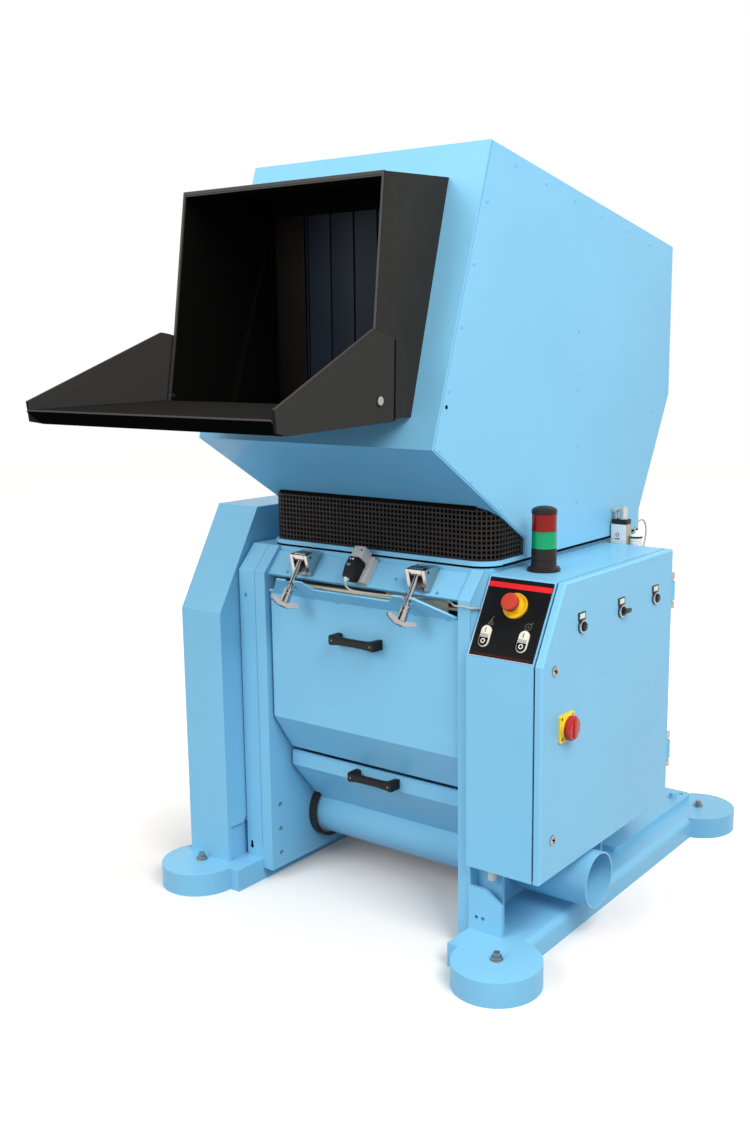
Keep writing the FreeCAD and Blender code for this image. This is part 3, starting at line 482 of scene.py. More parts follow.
# %% Rubber, leads and print
finish("curtain", (0.0112, 0.0172, 0.0270), 0.42, 0.06, 5.0, 0.03, 500.0, 0.02, specular=0.30)
finish("black_rubber", (0.016, 0.016, 0.016), 0.62, 0.10, 14.0, 0.20, 900.0, 0.06)
finish("lead_grey", (0.50, 0.48, 0.43), 0.50, 0.05, 20.0, 0.08, 1500.0, 0.05)
finish("red_print", (0.80, 0.018, 0.022), 0.34, 0.03, 9.0, 0.04, 1400.0, 0.04)
# pale; on the panel's edge it is a painted highlight
finish("pale_and_edge_highlight", (0.72, 0.74, 0.76), 0.36, 0.04, 20.0, 0.06, 1400.0, 0.05)
finish("grey_print", (0.20, 0.195, 0.18), 0.45, 0.08, 30.0, 0.05, 1400.0, 0.05)
finish("band_grey", (0.42, 0.41, 0.37), 0.42, 0.05, 30.0, 0.05, 1400.0, 0.05)
print(len(mats), "finishes so far")

# %% [markdown]
# ## Finishes on the CAD nodes
# The record names a finish for every node, and most nodes simply take it. Three of
# them look different on the real machine, and the feed flap gets the tray's painted
# shade, so these four are named here.

# %% Finishes on the CAD nodes
slots = {entry["node"]: entry["material_slot"] for entry in frame["record"]["subparts"]}
special = {"hopper_switch": "olive_case", "cradle_edge": "olive_grey",
           "beacon_body": "beacon_black", "feed_flap": "flap_painted_shade"}
for name, obj in frame["nodes"].items():
    obj.data.materials.clear()
    obj.data.materials.append(mats[special.get(name, slots[name])])
print(len(mats), "finishes on", len(slots), "nodes")

# %% [markdown]
# ## Tray with painted shade
# The flap is one sheet-metal tray. Its tone is painted light and shade: the
# underside and the floor of the tray are painted dark, as shade, and the upright
# cheeks and the sloped edges lighter, as light. Such shading could be painted on by
# hand. Here the direction of the face, in the flap's own coordinates, chooses the
# tone, so it stays right when the tray folds up.

# %% Tray with painted shade
tree = mats["flap_painted_shade"].node_tree
parts = add_node(tree, "SeparateXYZ")
tilt = add_node(tree, "MapRange", {"From Min": -1.0})
facing_shade = add_node(tree, "ValToRGB")
# painted shade and light, from facing down, over upright, to facing up: place on
# the ramp and grey
shade_stops = [(0.0, 0.0045), (0.42, 0.0045), (0.475, 0.043), (0.525, 0.043), (0.60, 0.056),
         (0.970, 0.056), (0.985, 0.018)]
for k, (where, grey) in enumerate(shade_stops):
    stop = facing_shade.color_ramp.elements[k] if k < 2 else facing_shade.color_ramp.elements.new(where)
    stop.position = where
    stop.color = (grey, grey * 0.95, grey * 0.88, 1.0)
wire(tree, add_node(tree, "TexCoord"), "Normal", parts, 0)
wire(tree, parts, "Z", tilt, "Value")
wire(tree, tilt, "Result", facing_shade, "Fac")
wire(tree, facing_shade, "Color", tree.nodes["Principled BSDF"], "Base Color")
print("flap tones:", len(shade_stops))

# %% [markdown]
# ## Feed hood and curtain
# Behind the black hood the opening is closed by rubber strips that stop the chips
# from flying out. They could be simulated as cloth, but stiff strips hardly move.
# So each is its own sheet, a grid of points with a slight wave, and its left edge
# lies behind its neighbour's right edge, as tiles lie. A fixed black panel at the
# left is painted shade, where the hood's left wall shades the strips.

# %% Curtain strips
OPEN_X = 246.0
EDGE_X = OPEN_X - 2
CURTAIN_Y = -444.0
CURTAIN_TOP = 1750.0
CURTAIN_FOOT = 1300.0
SHEET = 3.0
BOW = 1.1
WAVE_LENGTH = 80.0
LEAN = 4.6
FACE_Y, FACE_Z = -403.0, 1845.0
FACE_FALL, FACE_RUN = 650.0, 221.6
STRIP_W = 70.0
FIRST_EDGE = -220.0
OVERLAP = 4.0


def hopper_face(z):
    # y of the hopper's sloped front at height z
    return FACE_Y - (FACE_Z - z) / FACE_FALL * FACE_RUN


def strip(x0, x1, index):
    # one hanging strip: a little bowed, wavy towards its foot, one edge behind the next
    cols = 8
    rows = 24
    rings = []
    for r in range(rows + 1):
        z = CURTAIN_TOP + (CURTAIN_FOOT - CURTAIN_TOP) * r / rows
        loop = []
        for c in range(cols + 1):
            across = c / cols
            bow = BOW * math.sin(across * math.pi) * math.sin(index * 1.7 + 0.6)
            wave = math.sin(z / WAVE_LENGTH) * r / rows
            loop.append((x0 + (x1 - x0) * across,
                         CURTAIN_Y + bow + wave + LEAN * (1.0 - across)))
        rings.append([P(x, y, z) for x, y in loop]
                     + [P(x, y + SHEET, z) for x, y in reversed(loop)])
    bm = bmesh.new()
    skin(bm, rings)
    piece("curtain_strip_%d" % index, bm, "hopper", "curtain", "curtain")


edges = [-EDGE_X] + [FIRST_EDGE + STRIP_W * k for k in range(7)] + [EDGE_X]
for i, (a, b) in enumerate(zip(edges, edges[1:])):
    strip(max(a - OVERLAP, -EDGE_X), min(b + OVERLAP, EDGE_X), i)
bm = bmesh.new()
rail = Spot((0, CURTAIN_Y, CURTAIN_TOP), *FRONT)
slab(bm, rail, rounded(2 * EDGE_X, 44, 2, 5, 0, -13), 3.0, 8.0, 1.0)
for x in range(-200, 201, 80):
    turned(bm, rail, [(5.0, 8.0), (5.0, 9.5), (3.5, 11.0)], 16, x, 0)
piece("curtain_bar", bm, "hopper", "black_and_shade", "curtain")
# painted shade: a black panel where the hood's left wall shades the strips
bm = bmesh.new()
slab(bm, rail, [(-243, -488), (-151, -488), (-151, 8), (-243, 8)], 2.6, 5.6, 0.6)
piece("curtain_shade_panel", bm, "hopper", "shade_panel_black")
print(len(edges) - 1, "strips hang from a bar")

# %% [markdown]
# Beside the outer strips stands a thin black guide, and a sill lies under them,
# so that no chips pass round the curtain. Boxes would stand off the sloped hopper,
# so each guide is drawn from its side, along the slope, and then given its
# thickness across.

# %% Guides beside the curtain
GUIDE_X = 243.5
HOOD_IN = 249.0
HOOD_BACK = -428.0
FLARE = 0.1263
SIDES = (-1, "left"), (1, "right")


def hood_x(y, base):
    # half the hood's width at depth y, from a base width at its back
    return base + (HOOD_BACK - y) * FLARE


# the guides and the sill take the near-black of painted shade, as the hood's inside does
for sign, side_name in SIDES:
    pts = [(hopper_face(1764) - 1, 1764), (hopper_face(1268) - 1, 1268), (-436, 1268),
           (-436, 1764)]
    bm = bmesh.new()
    skin(bm, [[P(sign * x, y, z) for y, z in pts] for x in (GUIDE_X, GUIDE_X + 2)])
    skin(bm, [[P(sign * x, hopper_face(z) - out, z)
               for x, out in ((GUIDE_X, 0.3), (far, 0.3), (far, 1.5), (GUIDE_X, 1.5))]
              for z, far in ((1765, HOOD_IN), (1269, hood_x(hopper_face(1269), HOOD_IN)))])
    piece("curtain_guide_" + side_name, bm, "hopper", "black_and_shade")
bm = bmesh.new()
pts = [(hopper_face(1266) + 6, 1264), (-436, 1264), (-436, 1261), (hopper_face(1266) + 6, 1261)]
skin(bm, [[P(x, y, z) for y, z in pts] for x in (-GUIDE_X, GUIDE_X)])
piece("curtain_sill", bm, "hopper", "black_and_shade")
print("guides and sill close the sides of the curtain")

# %% [markdown]
# ## Hood lining
# The hood is black sheet. Its inside, where little light comes, is painted a deeper
# and duller black than its outside, as painted shade. A second finish on the sheet
# itself would have to be chosen face by face, so thin linings, a few tenths of a
# millimetre off the sheets, carry it on the inner side only. A narrow folded edge
# runs round the mouth, and a thin black strip behind each cheek is a painted shadow
# in the gap between cheek and hood.

# %% Hood lining and its folded edge
mouth = [(-698.0, 1751.0), (-740.0, 1435.0), (-764.0, 1283.0)]
for sign, side_name in SIDES:
    pts = [(hopper_face(1765) - 2, 1765), (-699, 1745), (-739, 1434), (-762, 1284), (-760, 1268),
           (hopper_face(1268) - 2, 1268)]
    # painted shade: a near-black lining on the inner side of the hood
    bm = bmesh.new()
    skin(bm, [[P(sign * hood_x(y, HOOD_IN - depth), y, z) for y, z in pts]
              for depth in (1.2, 0.4)])
    piece("hood_shade_lining_" + side_name, bm, "hopper", "black_and_shade")
    bm = bmesh.new()
    rings = []
    for y, z in mouth:
        outer = sign * hood_x(y, HOOD_IN + 3.6)
        inner = sign * hood_x(y, HOOD_IN - 2.0)
        rings.append([P(outer, y - 0.8, z), P(inner, y - 0.8, z), P(inner, y + 3.0, z),
                      P(outer, y + 3.0, z)])
    skin(bm, rings)
    piece("hood_edge_" + side_name, bm, "hopper", "black_edge")
bm = bmesh.new()
back_y = hopper_face(1771) - 2
corners = [(-1, back_y, 1765.2), (1, back_y, 1765.2), (1, -699.0, 1745.2), (-1, -699.0, 1745.2)]
skin(bm, [[P(sign * hood_x(y, HOOD_IN - 1), y, z - drop) for sign, y, z in corners]
          for drop in (0.0, 0.8)])
piece("hood_shade_lining_top", bm, "hopper", "black_and_shade")
bm = bmesh.new()
pts = [(-698.8, 1752.5), (-698.8, 1742.0), (-695.0, 1742.0), (-694.0, 1752.7)]
skin(bm, [[P(sign * hood_x(-698.0, HOOD_IN + 3.6), y, z) for y, z in pts] for sign in (-1, 1)])
piece("hood_edge_top", bm, "hopper", "black_edge")
# painted shadow: a thin black strip in the gap behind each cheek
for sign, side_name in SIDES:
    bm = bmesh.new()
    rows = []
    for z, y in ((1257.0, -679.0), (1422.0, -673.0)):
        loop = [(y, 5.1), (y, 5.9), (y + 11.0, 5.9), (y + 11.0, 5.1)]
        rows.append([P(sign * hood_x(b, HOOD_IN + out), b, z) for b, out in loop])
    skin(bm, rows)
    piece("cheek_shadow_" + side_name, bm, "hopper", "black_and_shade")
print("the hood is lined black, with a folded edge at its mouth and a seal behind each cheek")

# %% [markdown]
# ## Perforated skirt
# The skirt under the hopper is perforated sheet, bent round the two front corners.
# Seen from above it is one path: a side, an arc, the front, an arc and a side. A
# sheet could be bent by a modifier, but a function that gives the point at any
# distance along the path serves the skirt, its liner and its seal alike.

# %% Path of the skirt
SKIRT_X = 341.5
SKIRT_Y = -394.0
SKIRT_R = 56.0
SKIRT_END = -250.0
SKIRT_Z0 = 922.0
# y and z of the front and rear end of the hopper's slanted foot
slope_b = (-624.6, 1195.0)
slope_c = (-249.0, 960.0)
straight = SKIRT_END - (SKIRT_Y + SKIRT_R)
arc = math.pi / 2 * SKIRT_R
front = 2 * (SKIRT_X - SKIRT_R)
path_length = 2 * straight + 2 * arc + front


def skirt_point(s, z, out=0.0):
    # s runs round the skirt from its left rear end
    if s < straight:
        x, y, nx, ny = -SKIRT_X, SKIRT_END - s, -1.0, 0.0
    elif s < straight + arc:
        t = (s - straight) / SKIRT_R
        nx, ny = -math.cos(t), -math.sin(t)
        x, y = -SKIRT_X + SKIRT_R + SKIRT_R * nx, SKIRT_Y + SKIRT_R + SKIRT_R * ny
    elif s < straight + arc + front:
        x, y, nx, ny = -SKIRT_X + SKIRT_R + s - straight - arc, SKIRT_Y, 0.0, -1.0
    elif s < straight + 2 * arc + front:
        t = (s - straight - arc - front) / SKIRT_R
        nx, ny = math.sin(t), -math.cos(t)
        x, y = SKIRT_X - SKIRT_R + SKIRT_R * nx, SKIRT_Y + SKIRT_R + SKIRT_R * ny
    else:
        x, y, nx, ny = SKIRT_X, SKIRT_Y + SKIRT_R + s - straight - 2 * arc - front, 1.0, 0.0
    return P(x + nx * out, y + ny * out, z)


def slope_z(y):
    # height of the slanted foot at depth y
    return slope_c[1] + (slope_c[0] - y) / (slope_c[0] - slope_b[0]) * (slope_b[1] - slope_c[1])


print("the skirt is", round(path_length), "mm long, its top at the front", round(slope_z(SKIRT_Y)))

# %% [markdown]
# The sheet has square holes. A picture of holes would look flat, and cutting
# hundreds of them one by one is slow. So the pattern is built flat, cell by cell,
# and each point is then laid along the path, the slanted top is cut off and the
# sheet gets its thickness.

# %% Perforated skirt
PITCH = 11.3
HOLE = 7.7
LOW_EDGE = 5.0
HOLE_ROWS = 12
GAP_ABOVE = 0.4
SHEET_THICK = 0.0009


def cut_slant(bm, drop):
    # cuts the sheet off along the slant, a little below it
    normal = Vector((0.0, slope_b[1] - slope_c[1], slope_c[0] - slope_b[0])).normalized()
    bmesh.ops.bisect_plane(bm, geom=bm.verts[:] + bm.edges[:] + bm.faces[:],
                           plane_co=P(0, slope_c[0], slope_c[1] - drop), plane_no=normal,
                           clear_outer=True)


def thicken(sheet, thickness):
    # gives an open sheet its thickness, in metres
    sheet.modifiers.new("thick", "SOLIDIFY").thickness = thickness


cells = round(path_length / PITCH)
step = path_length / cells
web = (step - HOLE) / 2
marks_s = []
for i in range(cells):
    marks_s += [i * step, i * step + web, i * step + web + HOLE]
marks_s.append(path_length)
marks_z = [SKIRT_Z0, SKIRT_Z0 + LOW_EDGE]
for j in range(HOLE_ROWS):
    marks_z += [marks_z[-1] + HOLE, marks_z[-1] + PITCH]
bm = bmesh.new()
grid = [[bm.verts.new(skirt_point(s, z)) for s in marks_s] for z in marks_z]
for j in range(len(marks_z) - 1):
    for i in range(len(marks_s) - 1):
        if i % 3 != 1 or j % 2 != 1:
            bm.faces.new((grid[j][i], grid[j][i + 1], grid[j + 1][i + 1], grid[j + 1][i]))
cut_slant(bm, GAP_ABOVE)
sheet = piece("perforated_skirt", bm, "hopper", "black_mesh", "mesh_skirt")
thicken(sheet, SHEET_THICK)
print(len(sheet.data.polygons), "faces in the perforated skirt,", cells, "holes in its lowest row")

# %% [markdown]
# Sheet metal with square holes is see-through. On the real machine one looks
# through it into the dark hollow round the throat, so a thin black sheet hangs
# 4 mm behind it as painted shade of that hollow. A black strip covers the joint
# under the hopper front, and a soft black seal closes the seam under the rim,
# round the front and back along both sides.

# %% Shade liner, cover strip and seal
LINER_STEPS = 70
SHADE_LINER_OUT = -4.0
SEAL_OUT = 5.4
SEAL_LOW, SEAL_TOP = 906.7, 912.6
TO_REAR = 355.0 - SKIRT_END


def wall(bm, low, high):
    # a strip of faces between two open rows of points
    low, high = ([bm.verts.new(p) for p in row] for row in (low, high))
    for corners in zip(low, low[1:], high[1:], high):
        bm.faces.new(corners)


def lay(name, stations, out, low_z, high_z, thickness, drop=None):
    # a strip of sheet along the skirt's path, cut off at the slant where drop says so
    bm = bmesh.new()
    wall(bm, *([skirt_point(s, z, out) for s in stations] for z in (low_z, high_z)))
    if drop:
        cut_slant(bm, drop)
    thicken(piece(name, bm, "hopper", "black_and_shade"), thickness)


liner_s = [path_length * i / LINER_STEPS for i in range(LINER_STEPS + 1)]
# painted shade: the black sheet behind the holes
lay("skirt_shade_liner", liner_s, SHADE_LINER_OUT, SKIRT_Z0 + 0.5, SKIRT_Z0 + 140.0, 0.001, 0.6)
strip_z = slope_z(SKIRT_Y)
bm = bmesh.new()
slab(bm, Spot((0, SKIRT_Y, 0), *FRONT), [(-300, strip_z - 9), (296, strip_z - 9),
                                         (305, strip_z - 0.5), (-300, strip_z - 0.5)], 0.2, 1.8)
piece("skirt_cover", bm, "hopper", "black_and_shade")
seal_s = [-TO_REAR] + liner_s + [path_length + TO_REAR]
lay("rim_seal", seal_s, SEAL_OUT, SEAL_LOW, SEAL_TOP, 0.0006)
print("a liner behind the skirt, a strip over its joint and a seal under the rim")

# %% [markdown]
# ## Screws
# One recessed round head serves for all the panels: a low dome with a socket.
# It is turned once for each place on a drawing board that lies on the panel. The
# places on the hopper are the same left and right.

# %% Screws
HOPPER_SIDE = 346.5


def screws(name, spot, places, r, high, body, mat):
    bm = bmesh.new()
    for a, b in places:
        turned(bm, spot, [(r, -0.2), (r, high * 0.35), (r * 0.9, high * 0.75), (r * 0.62, high),
                          (r * 0.42, high), (r * 0.38, high * 0.35)], 20, a, b)
    piece(name, bm, body, mat)


hopper_boards = {"right": (Spot((HOPPER_SIDE, 0, 0), *RIGHT), 1),
                 "left": (Spot((-HOPPER_SIDE, 0, 0), *LEFT), -1)}
hopper_marks = [(-304, 1803), (-168, 1780), (-32, 1755), (107, 1730), (243, 1706), (382, 1681),
                (-417, 1716), (-467, 1583), (-514, 1450), (-562, 1317), (-1, 1448), (-2, 1306),
                (0, 1165), (1, 1024), (426, 1233), (365, 1017), (-595, 1193), (-475, 1117),
                (-355, 1044)]
for side_name, (spot, way) in hopper_boards.items():
    screws("hopper_screws_" + side_name, spot, [(y * way, z) for y, z in hopper_marks], 5.0, 1.6,
           "hopper", "blue_paint")
slope = Spot((0, -450, 840), (1, 0, 0), (0, 0.6444, 0.7648))
slope_marks = [(-238, 11), (-207, 33), (98, 31), (229, 10)]
screws("slope_screws", slope, slope_marks, 4.2, 1.4, "base", "blue_shade")
CASING_Y = -462.5
front_face = Spot((0, CASING_Y, 0), *FRONT)
screws("casing_screws", front_face, [(-368, 778)], 5.5, 1.8, "base", "blue_shade")
print(len(hopper_marks) * 2 + len(slope_marks) + 1, "screws")

# %% [markdown]
# ## Seams of the hopper
# The hopper is folded from sheets that meet along its edges. The gap between two
# sheets shows as a thin darker line, with a heavier one along the slanted foot, so
# each seam is a flat stroke in a darker blue. One open hole is left at the right,
# drawn as a dark disc of painted shade.

# %% Hopper seams
def stroke(bm, spot, points, width, low, high):
    # a printed line of the given width through the points
    for (a0, b0), (a1, b1) in zip(points, points[1:]):
        d = Vector((a1 - a0, b1 - b0)).normalized() * width / 2
        slab(bm, spot, [(a0 - d.x + d.y, b0 - d.y - d.x), (a1 + d.x + d.y, b1 + d.y - d.x),
                        (a1 + d.x - d.y, b1 + d.y + d.x), (a0 - d.x - d.y, b0 - d.y + d.x)],
             low, high)


seam = [(-397.6, 1841), (-618.2, 1195.4), (-243.4, 961.0), (-243.4, 914)]
for side_name, (spot, way) in hopper_boards.items():
    bm = bmesh.new()
    stroke(bm, spot, [(y * way, z) for y, z in seam], 1.5, 0.0, 0.3)
    stroke(bm, spot, [(y * way, z) for y, z in seam[1:3]], 2.6, 0.0, 0.4)
    piece("hopper_seam_" + side_name, bm, "hopper", "blue_shade")
# painted shade: the open hole is a flat dark disc
bm = bmesh.new()
turned(bm, hopper_boards["right"][0], [(4.6, 0.0), (4.6, 0.4)], 24, -571.6, 1282.2)
piece("hopper_hole_shade", bm, "hopper", "black_and_shade")
print("two seams and a hole on the hopper's sides")

# %% [markdown]
# ## Joints and marks of the base
# A thin line runs down the outer edge of each thick side plate and up its slope.
# On the left it is the tight joint with the casing. Socket screws sit deep in the
# left plate's three holes. The keyhole of the casing and the short reliefs where
# the door is bent are cuts in the sheet, drawn as flat dark marks of painted shade.

# %% Joints and marks of the base
PLATE_JOINT = 335.0
JOINT_W = 1.8
BEND_Z = 843
# painted shade: the keyhole is a flat dark mark
bm = bmesh.new()
casing = Spot((-374, CASING_Y, 94), *FRONT)
slab(bm, casing, rounded(7, 16, 3.4), 0.0, 0.25)
turned(bm, casing, [(5.5, 0.0), (5.5, 0.25)], 24, 0, -8)
piece("casing_keyhole_shade", bm, "base", "black_and_shade")
joints = bmesh.new()
for x, foot in ((-PLATE_JOINT, 96), (PLATE_JOINT, 700)):
    stroke(joints, front_face, [(x, foot), (x, BEND_Z - 1)], JOINT_W, 0.0, 0.25)
    rise = Spot((x, CASING_Y, BEND_Z), (1, 0, 0), (0, 58.0, 63.0))
    stroke(joints, rise, [(0, 1), (0, 84)], JOINT_W, 0.0, 0.25)
piece("plate_joints", joints, "base", "blue_shade")
sockets = bmesh.new()
for z in (72.0, 140.0, 208.0):
    turned(sockets, Spot((-300, -427, z), *RIGHT),
           [(6.6, -12.0), (6.6, -6.5), (5.8, -5.6), (3.6, -5.6), (3.6, -8.0)], 24)
piece("plate_screws", sockets, "base", "steel")
# painted shade: the bend reliefs are darker blue marks
bm = bmesh.new()
bend = Spot((0, -448, 788), *FRONT)
for a, long in ((-240, 14), (-150, 9), (-68, 16), (22, 8), (171, 18), (265, 15)):
    slab(bm, bend, rounded(long, 2.2, 1.0, 3, a, 0), 0.0, 0.35)
piece("bend_relief_shade", bm, "screen_door", "blue_shade")
print("plate joints, three socket screws, a keyhole and six reliefs")

# %% [markdown]
# ## Control panel
# The black panel lies on the sloping top of the cabinet. A wide red stripe runs
# across its top and a thin one along its foot, and a small symbol stands over each
# pair of push buttons. They could come from a picture, but plates a few tenths of a
# millimetre high stay sharp from close by. A pale strip at the left and below is a
# painted highlight, where the plate's edge catches the light.

# %% Panel face
def ring(bm, spot, profile, count=40, a0=0.0, b0=0.0):
    # a turned ring: its (radius, height) profile closes on itself
    rows = [[bm.verts.new(spot(a, b, h)) for a, b in circle(r, count, a0, b0)]
            for r, h in profile]
    for a, b in zip(rows, rows[1:] + rows[:1]):
        tube(bm, a, b)


def flat_ring(bm, spot, r_out, r_in, low, high, a0=0.0, b0=0.0, count=32):
    ring(bm, spot, [(r_in, low), (r_out, low), (r_out, high), (r_in, high)], count, a0, b0)


PRINT = 2.9, 3.2
panel = Spot((426.9, -484, 723.7), (1, 0, 0), (0, 0.4957, 0.8685))
bm = bmesh.new()
slab(bm, panel, rounded(165.4, 12.6, 0.3, 1, 0, 175.2), 2.8, 3.25)
piece("panel_stripes", bm, "base", "red_print")
bm = bmesh.new()
slab(bm, panel, rounded(160.0, 0.9, 0.3, 1, 0, 9.5), 2.8, 3.2)
piece("panel_line", bm, "base", "red_lens")
# painted highlight: pale strips where the lit edge of the plate catches the light
bm = bmesh.new()
slab(bm, panel, [(-84.0, 3.6), (-82.9, 4.6), (-82.9, 191.4), (-84.0, 192.2)], 0.2, 3.2)
slab(bm, panel, [(-84.0, 3.6), (84.0, 3.6), (82.9, 4.5), (-82.9, 4.5)], 0.2, 3.2)
piece("panel_edge_highlight", bm, "base", "pale_and_edge_highlight")
bm = bmesh.new()
stroke(bm, panel, [(-55, 80), (-48, 93), (-41, 80), (-55, 80)], 0.9, *PRINT)
stroke(bm, panel, [(-48, 93), (-43.5, 100)], 0.9, *PRINT)
flat_ring(bm, panel, 2.8, 2.0, *PRINT, -48, 84.5, 20)
flat_ring(bm, panel, 8.0, 7.2, *PRINT, 49, 86, 32)
stroke(bm, panel, [(54.5, 92.5), (59, 97)], 0.9, *PRINT)
turned(bm, panel, [(1.5, h) for h in PRINT], 16, 49, 86)
piece("panel_symbols", bm, "base", "grey_print")
print("panel stripes, edges and two symbols")

# %% [markdown]
# ## Push buttons
# The push buttons are double ones: a cream key marked I above, a black key with
# a ring below, in one stadium-shaped bezel. Their outline is two half circles
# joined by straight sides. Each layer is a plate with an eased edge, because the
# steps between the layers catch the light.

# %% Push buttons
def half_stadium(r, b_flat, b_mid, a0, b0, way, steps=14):
    # the outline of one key: flat on one side, a half circle on the other
    out = [(a0 - r * way, b0 + b_flat), (a0 + r * way, b0 + b_flat)]
    for i in range(steps + 1):
        t = math.pi * i / steps
        out.append((a0 + way * r * math.cos(t), b0 + b_mid + way * r * math.sin(t)))
    return out


BUTTON_B = 50.6
bezels, keys, bands, inlays, bars = (bmesh.new() for _ in range(5))
for a0 in (-52.6, 46.6):
    slab(bezels, panel, rounded(26, 51, 12.9, 12, a0, BUTTON_B), 3.0, 7.0, 1.3)
    slab(keys, panel, half_stadium(11.0, 4.2, 12.5, a0, BUTTON_B, 1), 6.8, 9.2, 0.9)
    flat_ring(keys, panel, 5.8, 3.5, 7.9, 8.5, a0, BUTTON_B - 12.0)
    slab(bands, panel, rounded(22.0, 6.0, 0.6, 2, a0, BUTTON_B + 0.6), 6.8, 7.5, 0.3)
    slab(inlays, panel, half_stadium(11.2, -3.4, -12.5, a0, BUTTON_B, -1), 6.8, 8.1, 0.4)
    stroke(bars, panel, [(a0, BUTTON_B + 9), (a0, BUTTON_B + 18)], 1.9, 9.0, 9.5)
layers = (("bezels", bezels, "cream_plastic", "cream_plastic"),
          ("keys", keys, "cream_plastic", "cream_plastic"),
          ("bands", bands, "band_grey", "grey_plastic"),
          ("inlays", inlays, "panel_black", "black_plastic"),
          ("bars", bars, "panel_black", "black_plastic"))
for name, bm, mat, slot in layers:
    piece("button_" + name, bm, "base", mat, "push_buttons")
print(len(layers), "layers make the two double push buttons")

# %% [markdown]
# ## Emergency stop
# A matt red mushroom head on a glossy yellow collar. Both are turned from a
# profile, so the dome, the skirt and the raised rim of the collar are truly round.
# The head is hollow below. A solid one would look the same at rest, but it has to
# slip over the collar's neck when it is pushed.

# %% Emergency stop
ES_A = 3.1
ES_B = 129.0
bm = bmesh.new()
turned(bm, panel, [(8, 3.7), (8, 29.0), (16.8, 29.0), (17.4, 25.2), (19.2, 24.6), (20.7, 25.6),
                   (21.0, 27.4), (21.0, 34.0), (20.4, 36.2), (18.8, 38.2), (15.5, 39.3), (8, 39.8),
                   (2, 39.9)], 48, ES_A, ES_B)
piece("estop_head", bm, "estop", "red_matt", "estop_button")
bm = bmesh.new()
ring(bm, panel, [(30.0, 6.6), (30.0, 8.4), (29.4, 9.2), (28.2, 9.2), (27.4, 8.4), (26.6, 6.9)], 56,
     ES_A, ES_B)
ring(bm, panel, [(19.5, 6.8), (17.6, 9.6), (16.4, 12.4), (15.6, 19.6), (12.2, 20.4), (12.2, 6.8)],
     48, ES_A, ES_B)
piece("estop_rim", bm, "base", "yellow_plastic")
print("emergency stop head and collar rim")

# %% [markdown]
# ## Signal light
# The lamp has a black foot with a screwed flange and a groove, a green and a red
# lens with a fine ridge at each end, and a black domed cap. All of it is round, so
# three profiles turned on the same axis make it, and the ridges keep the lenses
# apart.

# %% Signal light
LAMP_R, LENS_R, SCREW_R = 29.6, 29.4, 34.6
mast = Spot((416, -278, 895.4), *TOP)
bm = bmesh.new()
turned(bm, mast, [(38.6, 0.0), (39.2, 1.0), (39.2, 5.6), (38.2, 7.2), (35.0, 8.2), (31.6, 10.4),
                  (30.2, 14.0), (29.6, 18.0), (29.6, 27.0), (28.8, 27.5), (28.8, 28.4),
                  (29.6, 28.9), (29.6, 52.4), (29.0, 53.4)], 56)
for k in range(4):
    t = math.pi / 4 + k * math.pi / 2
    turned(bm, mast, [(2.6, 7.0), (2.6, 9.0), (1.6, 9.6)], 16, SCREW_R * math.cos(t),
           SCREW_R * math.sin(t))
dome = [(LAMP_R * math.cos(k * math.pi / 20), 141.0 + 11.0 * math.sin(k * math.pi / 20))
        for k in range(10)]
turned(bm, mast, [(29.0, 134.2), (29.9, 135.0)] + [(r + 0.3, h) for r, h in dome] + [(1.0, 152.0)],
       56)
piece("beacon_foot_and_cap", bm, "base", "beacon_black", "beacon_body")


def lens(name, low, mat, node):
    bm = bmesh.new()
    # the glass is a little thinner than the ridges at its two ends
    turned(bm, mast, [(LENS_R, low + 0.2), (LENS_R, low + 1.6), (29.0, low + 2.2),
                      (29.0, low + 37.4), (LENS_R, low + 38.0), (LENS_R, low + 39.8)], 56)
    piece(name, bm, "base", mat, node)


lens("beacon_lens_green", 54.0, "green_lens", "beacon_green")
lens("beacon_lens_red", 94.0, "red_lens", "beacon_red")
print("signal light of three turned pieces")

# %% [markdown]
# ## Main switch
# A red rotary disc with a grip turns on a yellow plate that screws to the cabinet
# door. The disc is turned from its profile, and its bar is a rounded plate, so the
# two read as one moulded knob. It turns with its own body, the plate stays put.

# %% Main switch
DOOR_X = 536.3
switch = Spot((DOOR_X, -378, 565), *RIGHT)
bm = bmesh.new()
turned(bm, switch, [(8, 1.3), (8, 11.8), (26.5, 12.0), (28.4, 13.0), (29.0, 15.0), (29.0, 18.5),
                    (28.0, 21.5), (25.5, 23.8), (20.0, 25.0)], 56)
slab(bm, switch, rounded(15, 46, 7.2, 8), 24.0, 28.4, 2.2)
piece("main_switch_dial", bm, "main_switch", "red_gloss", "main_switch_knob")
bm = bmesh.new()
slab(bm, switch, rounded(65, 65, 5, 6), 0.0, 5.0, 1.6)
ring(bm, switch, [(31.0, 4.8), (30.6, 9.4), (29.6, 10.6), (27.5, 10.8), (12.0, 10.8), (12.0, 4.8)],
     56)
piece("main_switch_shield", bm, "cabinet_door", "lemon_plastic",
      "main_switch_plate")
bm = bmesh.new()
for a in (-24, 24):
    for b in (-24, 24):
        turned(bm, switch, [(3.2, 4.8), (3.2, 5.2), (2.0, 5.3)], 20, a, b)
piece("main_switch_screws", bm, "cabinet_door", "black_plastic")
print("main switch dial, shield and screws")

# %% [markdown]
# ## Selectors
# Three selectors stand in a row on the door. Each has a black frame with a cream
# label field above, a chromed ring and a cap, and the middle one a lever. The
# layers of all three are drawn together, one object for each material.

